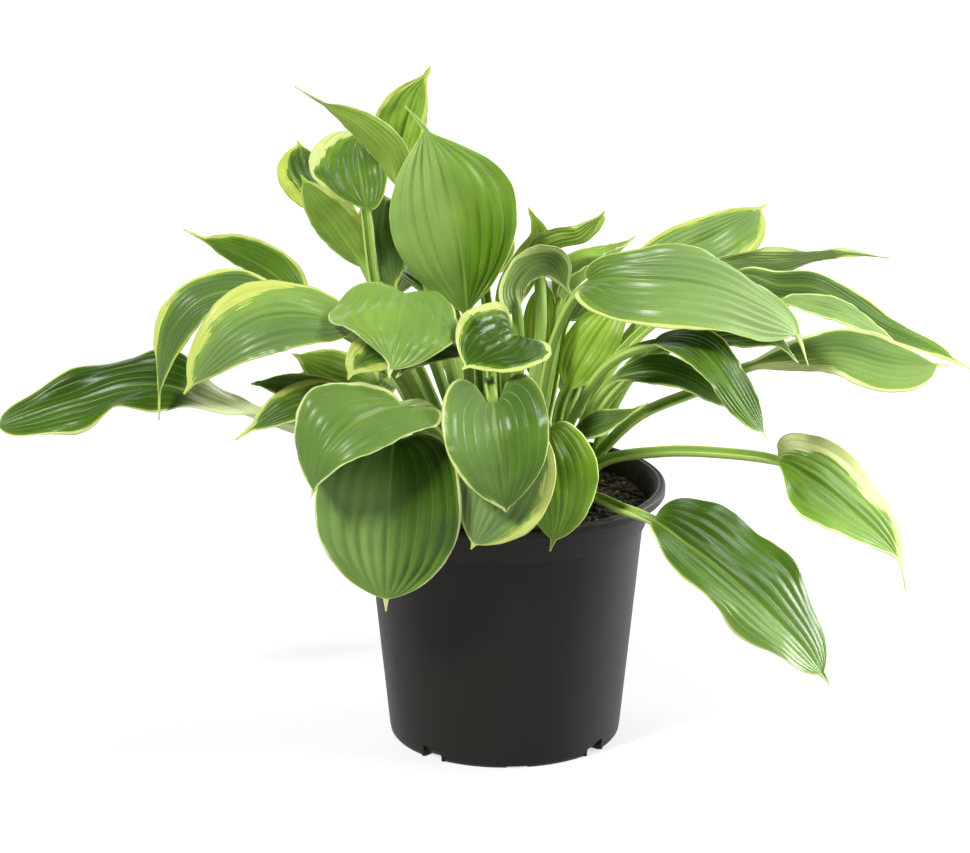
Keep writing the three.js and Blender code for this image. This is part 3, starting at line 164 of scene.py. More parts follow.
# The leaves, as in the solid model. foot is where the stalk leaves the soil, in mm to the right and back.
# stalk and rib hold points as [across, down, forward]: two pixels in the picture, and mm towards the front.
# Where in_millimetres is set, they are plain places in mm instead.
# face is where the upper side looks at mid blade, as seen in the picture: to the right, up, towards the
# viewer. twist turns the blade about its rib, in degrees at the base and at the tip.
# belly is how far along, short of the drip tip, the blade is widest. rise and taper are how full it is
# before and after that, and the smaller, the fuller. lobe is how far in mm the margins near the base are
# drawn back, and drip the share of the length that the thin tip takes. wave is the height in mm of the
# margin's waves, how many there are along the blade, and where the first starts.
# stalk_half is half the stalk's width, and blade_steps how many rows the blade has in the solid model.
# left and right are the blade's halves, seen from above with the tip away.
LEAVES = {
    "front_big": dict(
        foot=[-22, -38], stalk=[[428, 425, 78]],
        rib=[[396, 440, 101], [391, 480, 112], [388, 530, 116], [386, 575, 113], [386, 611, 108]],
        face=[-0.05, 0.25, 1], belly=0.42, rise=0.5, taper=0.62, lobe=30, drip=0.08, wave=[1.5, 2, 0.1],
        blade_steps=9,
        left=half(44, [14, 4], [-20, -14]), right=half(45, [14, 4], [-20, -14]),
    ),
    "front_left": dict(
        foot=[-16.5, -28.5], stalk=[[432, 410, 62]],
        rib=[[402, 407, 98], [378, 411, 114], [350, 424, 128], [326, 452, 136], [311, 497, 136]],
        face=[-0.1, 0.62, 0.75], belly=0.34, rise=0.42, taper=0.85, lobe=36, drip=0.05, wave=[2.5, 2, 0.3],
        blade_steps=9,
        left=half(31, [4, 2], [10, -20], lobe=26, belly=0.25, rise=0.3, taper=1.2),
        right=half(36, [10, 0], [10, -40], belly=0.5, rise=0.75, taper=0.6, lobe=12),
    ),
    "front_heart": dict(
        foot=[-5.5, -28.5], stalk=[[489, 380, 78]],
        rib=[[493, 404, 108], [496, 430, 121], [500, 460, 128], [503, 488, 130], [506, 512, 129]],
        face=[0, 0.3, 1], belly=0.3, rise=0.39, taper=0.92, lobe=42, drip=0.02, wave=[0.8, 2, 0],
        blade_steps=9,
        left=half(32, [12, 6], [-24, -10]), right=half(32, [12, 6], [-24, -10]),
    ),
    "front_edged": dict(
        foot=[0, -38.5], stalk=[[519, 428, 80]],
        rib=[[517, 432, 104], [508, 465, 113], [496, 500, 116], [483, 528, 115], [471, 549, 112]],
        face=[0.05, 0.2, 1], belly=0.42, rise=0.58, taper=0.75, lobe=20, drip=0.05, wave=[1.6, 2, 0.4],
        left=half(31, [8, 4], [-20, -10]), right=half(27, [8, 4], [-10, -10]),
    ),
    "front_right": dict(
        foot=[11, -38], stalk=[[546, 428, 70]],
        rib=[[546, 431, 92], [556, 462, 102], [560, 495, 105], [557, 525, 103], [550, 551, 100]],
        face=[0.2, 0.25, 1], belly=0.4, rise=0.57, taper=0.75, lobe=18, drip=0.1, wave=[1, 2, 0],
        left=half(25, [6, 4], [-20, -10]), right=half(24, [6, 4], [-20, -10]),
    ),
    "centre_bright": dict(
        foot=[-17, -9.5], stalk=[[428, 345, 28]],
        rib=[[406, 294, 46], [402, 308, 66], [398, 328, 86], [393, 352, 98], [389, 378, 104]],
        face=[0, 0.66, 0.75], belly=0.34, rise=0.42, taper=0.95, lobe=20, drip=0.07, wave=[3, 2, 0.2],
        blade_steps=9,
        left=half(36, [8, 4], [-40, -20], belly=0.48, taper=0.62),
        right=half(46, [-8, -4], [-14, -10], belly=0.25, taper=1.5, lobe=8),
    ),
    "left_shaded": dict(
        foot=[-22, -19.5], stalk=[[430, 390, 34]],
        rib=[[408, 352, 50], [388, 350, 60], [370, 355, 68], [355, 366, 73], [348, 380, 75]],
        face=[-0.2, 0.45, 0.85], belly=0.4, rise=0.53, taper=0.8, lobe=10, wave=[1, 2, 0], blade_steps=6,
        left=half(17, [6, 4], [0, 0]), right=half(16, [6, 4], [0, 0]),
    ),
    "left_under": dict(
        foot=[-37, 0], stalk=[[412, 424, -12]],
        rib=[[374, 386, -24], [354, 378, -30], [333, 370, -35], [312, 362, -39], [292, 354, -42]],
        face=[0, 0.3, 0.95], belly=0.4, rise=0.57, taper=0.85, lobe=10, wave=[1, 2, 0], blade_steps=6,
        left=half(16, [6, 4], [0, 0]), right=half(14, [6, 4], [0, 0]),
    ),
    "left_arch": dict(
        foot=[-28.5, -10], stalk=[[400, 372, 22]],
        rib=[[345, 327, 44], [300, 315, 52], [262, 319, 59], [232, 335, 64], [207, 361, 65],
            [184, 394, 63]],
        face=[-0.15, 0.66, 0.72], belly=0.33, rise=0.42, taper=0.85, lobe=20, drip=0.05, twist=[0, -25],
        wave=[2, 2, 0.3], blade_steps=9,
        left=half(27, [20, 0], [-10, -40], belly=0.3, taper=0.95, lobe=8),
        right=half(28, [12, 4], [-10, -30], belly=0.45, taper=0.75, lobe=8),
    ),
    "left_droop": dict(
        foot=[-38, -11], stalk=[[392, 368, 4]],
        rib=[[278, 302, 18], [240, 290, 24], [198, 300, 30], [169, 334, 34], [160, 379, 34],
            [159, 420, 32]],
        face=[-0.35, 0.6, 0.7], belly=0.36, rise=0.59, taper=1.05, lobe=12, drip=0.1, wave=[2, 2, 0.1],
        blade_steps=9,
        left=half(19, [14, 0], [0, -30]), right=half(22, [14, 0], [-20, -30]),
    ),
    "left_pointed": dict(
        foot=[-36, 11], stalk=[[372, 345, -44]],
        rib=[[302, 304, -58], [282, 281, -61], [260, 265, -64], [234, 252, -66], [207, 241, -67],
            [183, 229, -68]],
        face=[0.1, 0.55, 0.82], belly=0.36, rise=0.6, taper=1, lobe=8, drip=0.15, wave=[1, 1.5, 0.2],
        left=half(13, [16, 10], [10, 0]), right=half(17, [14, 6], [-10, -10], belly=0.4, taper=0.8),
    ),
    "far_left": dict(
        foot=[-50, -5], stalk=[[340, 439, 22], [300, 430, 19]],
        rib=[[262, 417, 15], [215, 402, 9], [168, 384, 5], [122, 386, 2], [80, 401, 0], [40, 413, 0],
            [-6, 428, 0]],
        face=[-0.1, 0.6, 0.8], belly=0.6, rise=0.9, taper=0.5, drip=0.02, lobe=0, stalk_half=7,
        twist=[30, -12], wave=[5, 3, 0.15], blade_steps=9,
        left=half(26, belly=0.5, rise=0.75),
        right=half(26, [14, 6], [-10, -10], belly=0.45, taper=0.5),
    ),
    "left_low": dict(
        foot=[-33, -21], stalk=[[380, 425, 40]],
        rib=[[345, 396, 50], [314, 400, 58], [284, 410, 64], [262, 422, 67], [248, 431, 68],
            [235, 440, 68]],
        face=[-0.2, 0.5, 0.85], belly=0.42, rise=0.83, taper=0.95, lobe=6, drip=0.15, wave=[0.8, 1.5, 0],
        blade_steps=6,
        left=half(14, [8, 6], [10, 0]), right=half(14, [16, 6], [10, 0]),
    ),
    "left_dark": dict(
        foot=[-47, 5], stalk=[[370, 410, -6]],
        rib=[[352, 393, -8], [322, 388, -10], [296, 384, -12], [272, 383, -13], [251, 384, -14]],
        face=[0, 0.3, 0.95], belly=0.42, rise=0.69, taper=0.95, lobe=4, wave=[0.8, 1.5, 0.2], blade_steps=6,
        left=half(13), right=half(7.5),
    ),
    "top_big": dict(
        foot=[-6, -6], stalk=[[474, 345, 8]],
        rib=[[467, 312, 10], [463, 270, 6], [455, 220, 0], [443, 172, -6], [427, 132, -12],
            [405, 106, -16]],
        face=[0, 0.2, 1], belly=0.5, rise=0.95, taper=0.75, lobe=6, drip=0.14, wave=[1.6, 2, 0.2],
        blade_steps=9,
        left=half(40, [10, 4], [-24, -10], rise=0.85, taper=0.78),
        right=half(40, [10, 4], [-24, -10], belly=0.56, rise=1.05, taper=1.5),
    ),
    "top_point": dict(
        foot=[-14, 12], stalk=[[425, 260, -44]],
        rib=[[398, 160, -64], [403, 134, -66], [409, 112, -68], [418, 90, -70], [431, 66, -72]],
        face=[0.1, 0.3, 0.95], belly=0.4, rise=0.4, taper=1.1, lobe=10, wave=[1, 1.5, 0.2], blade_steps=6,
        left=half(21, [26, 12], [10, 0], taper=1.5), right=half(14, [20, 12], [10, 0], taper=1.4),
    ),
    "top_swept": dict(
        foot=[-16, 1], stalk=[[424, 270, -16]],
        rib=[[399, 184, -20], [391, 160, -18], [374, 139, -16], [349, 119, -15], [322, 103, -15],
            [294, 86, -15]],
        face=[0.4, 0.45, -0.8], belly=0.36, rise=0.5, taper=0.8, lobe=6, drip=0.22, wave=[1, 1.5, 0.2],
        left=half(13, [16, 8], [10, 0]), right=half(12.5, [16, 8], [10, 0]),
    ),
    "top_round": dict(
        foot=[-26, 1], stalk=[[380, 303, -12]],
        rib=[[366, 210, -28], [362, 188, -36], [358, 163, -46], [357, 143, -56], [362, 127, -66]],
        face=[-0.1, 0.1, 1], belly=0.42, rise=0.51, taper=0.7, lobe=10, wave=[0.8, 2, 0.2],
        left=half(32, [16, 10], [30, 10], belly=0.55, rise=1, taper=0.9, lobe=4),
        right=half(21, [16, 10], [30, 10]),
    ),
    "top_folded": dict(
        foot=[-25, 12], stalk=[[396, 330, -42]],
        rib=[[364, 266, -60], [349, 246, -61], [333, 225, -62], [316, 202, -62], [301, 175, -62]],
        face=[0.2, 0.5, -0.85], belly=0.4, rise=0.47, taper=0.7, lobe=0, wave=[0.8, 1.5, 0.2],
        blade_steps=6,
        left=half(17, [12, 6], [10, 0]), right=half(15, [16, 8], [10, 0]),
    ),
    "top_dark": dict(
        foot=[-20, 23], stalk=[[442, 280, -76], [404, 212, -90]],
        rib=[[388, 200, -80], [384, 222, -73], [385, 246, -70], [389, 270, -68], [397, 292, -67]],
        face=[-0.2, 0.1, 0.95], belly=0.4, rise=0.57, taper=0.85, lobe=8, wave=[0.6, 2, 0], blade_steps=6,
        left=half(19, [10, 4], [0, 0]), right=half(19, [10, 4], [0, 0]),
    ),
    "top_yellow": dict(
        foot=[-31, 21], stalk=[[392, 330, -64]],
        rib=[[347, 204, -84], [334, 194, -86], [319, 181, -88], [306, 163, -91], [297, 140, -94]],
        face=[0.1, 0.3, 0.95], belly=0.4, rise=0.53, taper=0.8, lobe=0, wave=[0.6, 2, 0], blade_steps=6,
        left=half(23, [10, 4], [0, 0], belly=0.62, rise=0.8, taper=0.5), right=half(13, [10, 4], [0, 0]),
    ),
    "right_horned": dict(
        foot=[6, 2], stalk=[[541, 330, -22]],
        rib=[[541, 264, -26], [547, 252, -27], [560, 246, -27], [584, 239, -25], [605, 211, -22]],
        face=[0, 0.85, -0.5], belly=0.3, rise=0.34, taper=0.8, lobe=10, wave=[1, 1.5, 0.2],
        left=half(16, [36, 16], [20, 20], belly=0.6, taper=0.5), right=half(14, [16, 10], [30, 20]),
    ),
    "right_cupped": dict(
        foot=[16, 7], stalk=[[556, 340, -30]],
        rib=[[562, 298, -36], [578, 283, -38], [598, 268, -42], [618, 253, -46], [636, 236, -50]],
        face=[-0.5, 0.75, 0.2], belly=0.38, rise=0.61, taper=1, lobe=8, wave=[1, 1.5, 0.2],
        left=half(24, [30, 16], [20, 10]), right=half(17, [30, 16], [20, 10]),
    ),
    "centre_curled": dict(
        foot=[5, -9], stalk=[[519, 345, 4]],
        rib=[[517, 308, 12], [515, 288, 13], [528, 270, 9], [548, 266, 3], [570, 293, -3]],
        face=[0, 0.6, -0.8], belly=0.36, rise=0.48, taper=0.85, lobe=4, wave=[0.6, 1.5, 0.2],
        left=half(9, [10, 0], [-40, -30]), right=half(19, [4, 0], [-40, -30]),
    ),
    "right_big": dict(
        foot=[16, -5], stalk=[[555, 338, 12]],
        rib=[[590, 284, 28], [640, 280, 42], [700, 285, 50], [752, 304, 52], [794, 330, 52],
            [808, 365, 50]],
        face=[0.1, 0.74, 0.66], belly=0.42, rise=0.5, taper=0.7, lobe=22, drip=0.13, wave=[3.2, 2, 0.05],
        blade_steps=9,
        left=half(29, [16, 4], [-6, -20]), right=half(42, [6, 4], [-10, -20]),
    ),
    "back_right_high": dict(
        foot=[27, 23], stalk=[[596, 340, -80]],
        rib=[[640, 272, -94], [674, 253, -98], [708, 238, -102], [738, 222, -105], [767, 204, -108]],
        face=[0.1, 0.45, 0.9], belly=0.42, rise=0.54, taper=0.75, lobe=8, wave=[1.2, 2, 0.2],
        left=half(16, rise=0.4), right=half(27, belly=0.6, taper=0.4),
    ),
    "right_wavy": dict(
        foot=[37, 17], stalk=[[622, 345, -48]],
        rib=[[700, 272, -64], [740, 262, -68], [780, 262, -72], [815, 256, -75], [845, 253, -77],
            [889, 258, -78]],
        face=[0, 0.75, -0.62], belly=0.42, rise=0.83, taper=0.9, lobe=4, drip=0.2, wave=[3, 2.5, 0.25],
        left=half(13, [10, 4], [0, 0]), right=half(10, [10, 4], [0, 0]),
    ),
    "far_right": dict(
        foot=[38, 6], stalk=[[620, 355, -26]],
        rib=[[738, 276, -44], [778, 285, -47], [816, 287, -51], [847, 304, -54], [879, 326, -56],
            [925, 346, -58], [971, 369, -59]],
        face=[0.2, 0.66, 0.7], belly=0.45, rise=0.5, taper=0.7, lobe=6, drip=0.08, wave=[1.6, 2.5, 0.4],
        blade_steps=9,
        left=half(12, [12, 4], [0, 0], taper=0.45), right=half(13, [8, 4], [-20, -10]),
    ),
    "right_fold": dict(
        foot=[50, 4], stalk=[[640, 365, -8]],
        rib=[[784, 303, -18], [820, 306, -21], [850, 315, -23], [880, 333, -25], [907, 356, -26]],
        face=[0.3, 0.8, 0.5], belly=0.4, rise=0.57, taper=0.85, lobe=4, wave=[0.8, 1.5, 0.2], blade_steps=6,
        left=half(12), right=half(15, [8, 4], [-10, 0], belly=0.3, taper=0.65),
    ),
    "right_level": dict(
        foot=[41, -4], stalk=[[636, 418, 14], [700, 390, 12]],
        rib=[[744, 369, 10], [790, 357, 8], [840, 352, 8], [890, 364, 8], [949, 365, 6]],
        face=[0, 0.55, 0.82], belly=0.58, rise=0.8, taper=0.8, lobe=0, twist=[18, -10], wave=[2.4, 2, 0.55],
        blade_steps=9,
        left=half(18.5, [10, 4], [-6, 0], belly=0.72, rise=1.1, taper=1),
        right=half(22, [6, 4], [0, -10], belly=0.8, rise=1.15, taper=0.6),
    ),
    "right_droop": dict(
        foot=[21, -15], stalk=[[604, 369, 44]],
        rib=[[655, 344, 62], [690, 345, 72], [716, 366, 80], [736, 394, 84], [753, 418, 86],
            [768, 440, 86]],
        face=[0.35, 0.6, 0.7], belly=0.42, rise=0.62, taper=0.85, lobe=4, wave=[1.6, 2, 0.2], blade_steps=9,
        left=half(19, [10, 4], [-6, -10], taper=0.65), right=half(17, [14, 4], [-10, -10], taper=0.65),
    ),
    "right_shaded": dict(
        foot=[32, -13], stalk=[[590, 412, 20]],
        rib=[[616, 380, 24], [650, 372, 28], [684, 379, 32], [714, 395, 35], [741, 415, 36]],
        face=[0.1, 0.66, 0.75], belly=0.42, rise=0.65, taper=0.9, lobe=4, wave=[1.2, 2, 0.2], blade_steps=6,
        left=half(14), right=half(11),
    ),
    "right_tail": dict(
        foot=[28, -1], stalk=[[620, 385, 2]],
        rib=[[668, 349, 10], [706, 337, 16], [744, 335, 22], [776, 341, 26], [798, 363, 28]],
        face=[0, 0.75, 0.66], belly=0.36, rise=0.56, taper=1, lobe=4, wave=[1.6, 2, 0.5], blade_steps=6,
        left=half(15), right=half(14),
    ),
    "right_small": dict(
        foot=[27, -25], stalk=[[560, 452, 42]],
        rib=[[574, 438, 48], [592, 428, 53], [612, 421, 57], [631, 412, 60], [648, 403, 61]],
        face=[-0.2, 0.6, 0.8], belly=0.4, rise=0.67, taper=1, lobe=2, drip=0.15, wave=[0.5, 1.5, 0.2],
        blade_steps=6,
        left=half(9.5, [16, 8], [6, 0]), right=half(9.5, [12, 6], [0, 0]),
    ),
    "right_reaching": dict(
        foot=[43, -18], stalk=[[600, 463, 24], [660, 452, 24], [720, 453, 24]],
        rib=[[777, 461, 24], [812, 478, 27], [850, 508, 30], [880, 535, 32], [899, 560, 32],
            [906, 590, 30]],
        face=[0.15, 0.6, 0.8], belly=0.36, rise=0.42, taper=0.75, lobe=14, drip=0.15, wave=[1.6, 2, 0.3],
        blade_steps=9,
        left=half(30, [14, 4], [-10, -10], taper=0.9),
        right=half(36, [8, 4], [16, 10], lobe=0, belly=0.28, rise=0.9, taper=1.5),
    ),
    "right_low": dict(
        foot=[38, -30], stalk=[[592, 497, 54], [620, 508, 76]],
        rib=[[653, 521, 90], [679, 537, 95], [717, 567, 99], [757, 602, 102], [796, 639, 104],
            [829, 684, 100]],
        face=[0.1, 0.62, 0.8], belly=0.42, rise=0.45, taper=0.7, lobe=4, wave=[4.5, 2.5, 0.35],
        blade_steps=9,
        left=half(40, [12, 4], [-20, -10], belly=0.42, taper=0.6),
        right=half(25, [6, 4], [-10, -10], belly=0.55),
    ),
    "centre_dark": dict(
        foot=[0, -18.5], stalk=[[508, 368, 40]],
        rib=[[514, 336, 60], [506, 340, 73], [494, 348, 86], [478, 358, 95], [462, 370, 101]],
        face=[0, 0.55, 0.82], belly=0.34, rise=0.39, taper=0.9, lobe=30, wave=[1, 1.5, 0.2],
        left=half(28, [8, 4], [-20, -10]), right=half(28, [30, 8], [20, 0], belly=0.55, taper=0.65),
    ),
    "centre_slim": dict(
        foot=[-11, -19], stalk=[[470, 385, 50]],
        rib=[[466, 354, 64], [448, 351, 72], [430, 355, 79], [412, 363, 85], [396, 378, 89]],
        face=[0, 0.8, 0.6], belly=0.36, rise=0.56, taper=1, lobe=2, wave=[0.6, 1.5, 0.2], blade_steps=6,
        left=half(11), right=half(11),
    ),
    "centre_upright": dict(
        foot=[-4, 6], stalk=[[492, 350, -28]],
        rib=[[502, 316, -36], [513, 290, -40], [529, 262, -44], [540, 236, -48], [528, 207, -52]],
        face=[0.1, 0.2, 1], belly=0.4, rise=0.6, taper=0.9, lobe=4, wave=[0.8, 2, 0.2], blade_steps=6,
        left=half(11, [10, 4], [0, 0]), right=half(10, [10, 4], [0, 0]),
    ),
    "young_left": dict(
        foot=[8, 13], stalk=[[545, 396, -38]],
        rib=[[543, 385, -40], [542, 358, -42], [542, 332, -45], [543, 306, -49], [546, 280, -54]],
        face=[0, 0.2, 1], belly=0.5, rise=0.5, taper=0.5, lobe=0, wave=[0.5, 1.5, 0.2], blade_steps=6,
        left=half(13, [10, 6], [0, 0]), right=half(11, [10, 6], [0, 0]),
    ),
    "young_right": dict(
        foot=[27, 11], stalk=[[562, 400, -32]],
        rib=[[568, 388, -34], [584, 358, -38], [600, 332, -42], [616, 310, -46], [630, 292, -50]],
        face=[-0.1, 0.2, 1], belly=0.42, rise=0.62, taper=0.85, lobe=0, wave=[0.5, 1.5, 0.2], blade_steps=6,
        left=half(17, [10, 6], [0, 0]), right=half(17, [10, 6], [0, 0]),
    ),
    "back_low": back_leaf(
        28, 31, foot=[1, 29], stalk=[[-1, 52, 204]],
        rib=[[-4, 80, 228], [-7, 105, 234], [-11, 135, 221], [-15, 158, 190], [-17, 168, 152]],
        face=[0, 0.9, -0.45], belly=0.5, rise=0.6, taper=0.6, lobe=16, wave=[2, 2, 0.2],
    ),
    "back_low_left": back_leaf(
        28, 24, foot=[-13, 37], stalk=[[-24, 60, 200]],
        rib=[[-42, 84, 222], [-54, 104, 226], [-69, 126, 215], [-83, 145, 186], [-91, 153, 150]],
        face=[-0.35, 0.85, -0.4], belly=0.5, rise=0.6, taper=0.6, lobe=14, wave=[2, 2, 0.5],
    ),
    "back_low_right": back_leaf(
        28, 15, foot=[12, 32], stalk=[[22, 58, 196]],
        rib=[[30, 84, 214], [38, 106, 218], [48, 129, 207], [56, 147, 177], [60, 155, 143]],
        face=[0.35, 0.85, -0.4], belly=0.5, rise=0.6, taper=0.6, lobe=14, wave=[2, 2, 0.1],
    ),
    "back_wide_left": back_leaf(
        22, 22, foot=[-30, 33], stalk=[[-43, 58, 190]],
        rib=[[-76, 80, 208], [-97, 94, 211], [-120, 106, 204], [-139, 117, 187], [-152, 125, 167]],
        face=[-0.5, 0.8, -0.3], belly=0.4, rise=0.63, taper=0.95, lobe=12, wave=[2, 2, 0.3],
    ),
    "back_wide_right": back_leaf(
        24, 24, foot=[38, 29], stalk=[[58, 48, 194]],
        rib=[[84, 72, 222], [104, 88, 227], [124, 104, 220], [140, 116, 205], [150, 124, 187]],
        face=[0.5, 0.8, -0.3], belly=0.4, rise=0.63, taper=0.95, lobe=12, wave=[2, 2, 0.6],
    ),
    "back_high": back_leaf(
        27, 27, foot=[-2, 17], stalk=[[-7, 34, 226]],
        rib=[[-14, 54, 282], [-18, 69, 294], [-22, 88, 298], [-26, 108, 292], [-30, 128, 276]],
        face=[-0.1, 0.9, -0.4], belly=0.4, rise=0.57, taper=0.85, lobe=14, wave=[1.6, 2, 0.2],
    ),
    "back_high_right": back_leaf(
        23, 23, foot=[17, 19], stalk=[[29, 46, 206]],
        rib=[[38, 72, 248], [43, 92, 258], [49, 113, 257], [55, 133, 245], [60, 150, 225]],
        face=[0.35, 0.85, -0.4], belly=0.4, rise=0.57, taper=0.85, lobe=14, wave=[1.6, 2, 0.4],
    ),
    "back_high_left": back_leaf(
        25, 25, foot=[-10, 26], stalk=[[-20, 54, 216]],
        rib=[[-36, 82, 260], [-45, 100, 270], [-55, 120, 269], [-65, 138, 257], [-73, 154, 237]],
        face=[-0.35, 0.85, -0.4], belly=0.4, rise=0.57, taper=0.85, lobe=14, wave=[1.6, 2, 0.1],
    ),
}

PLAIN_LEAF = dict(
    in_millimetres=False, twist=[0, 0], stalk_half=3.6, rise=0.55, taper=0.8, drip=0.06, blade_steps=8,
)

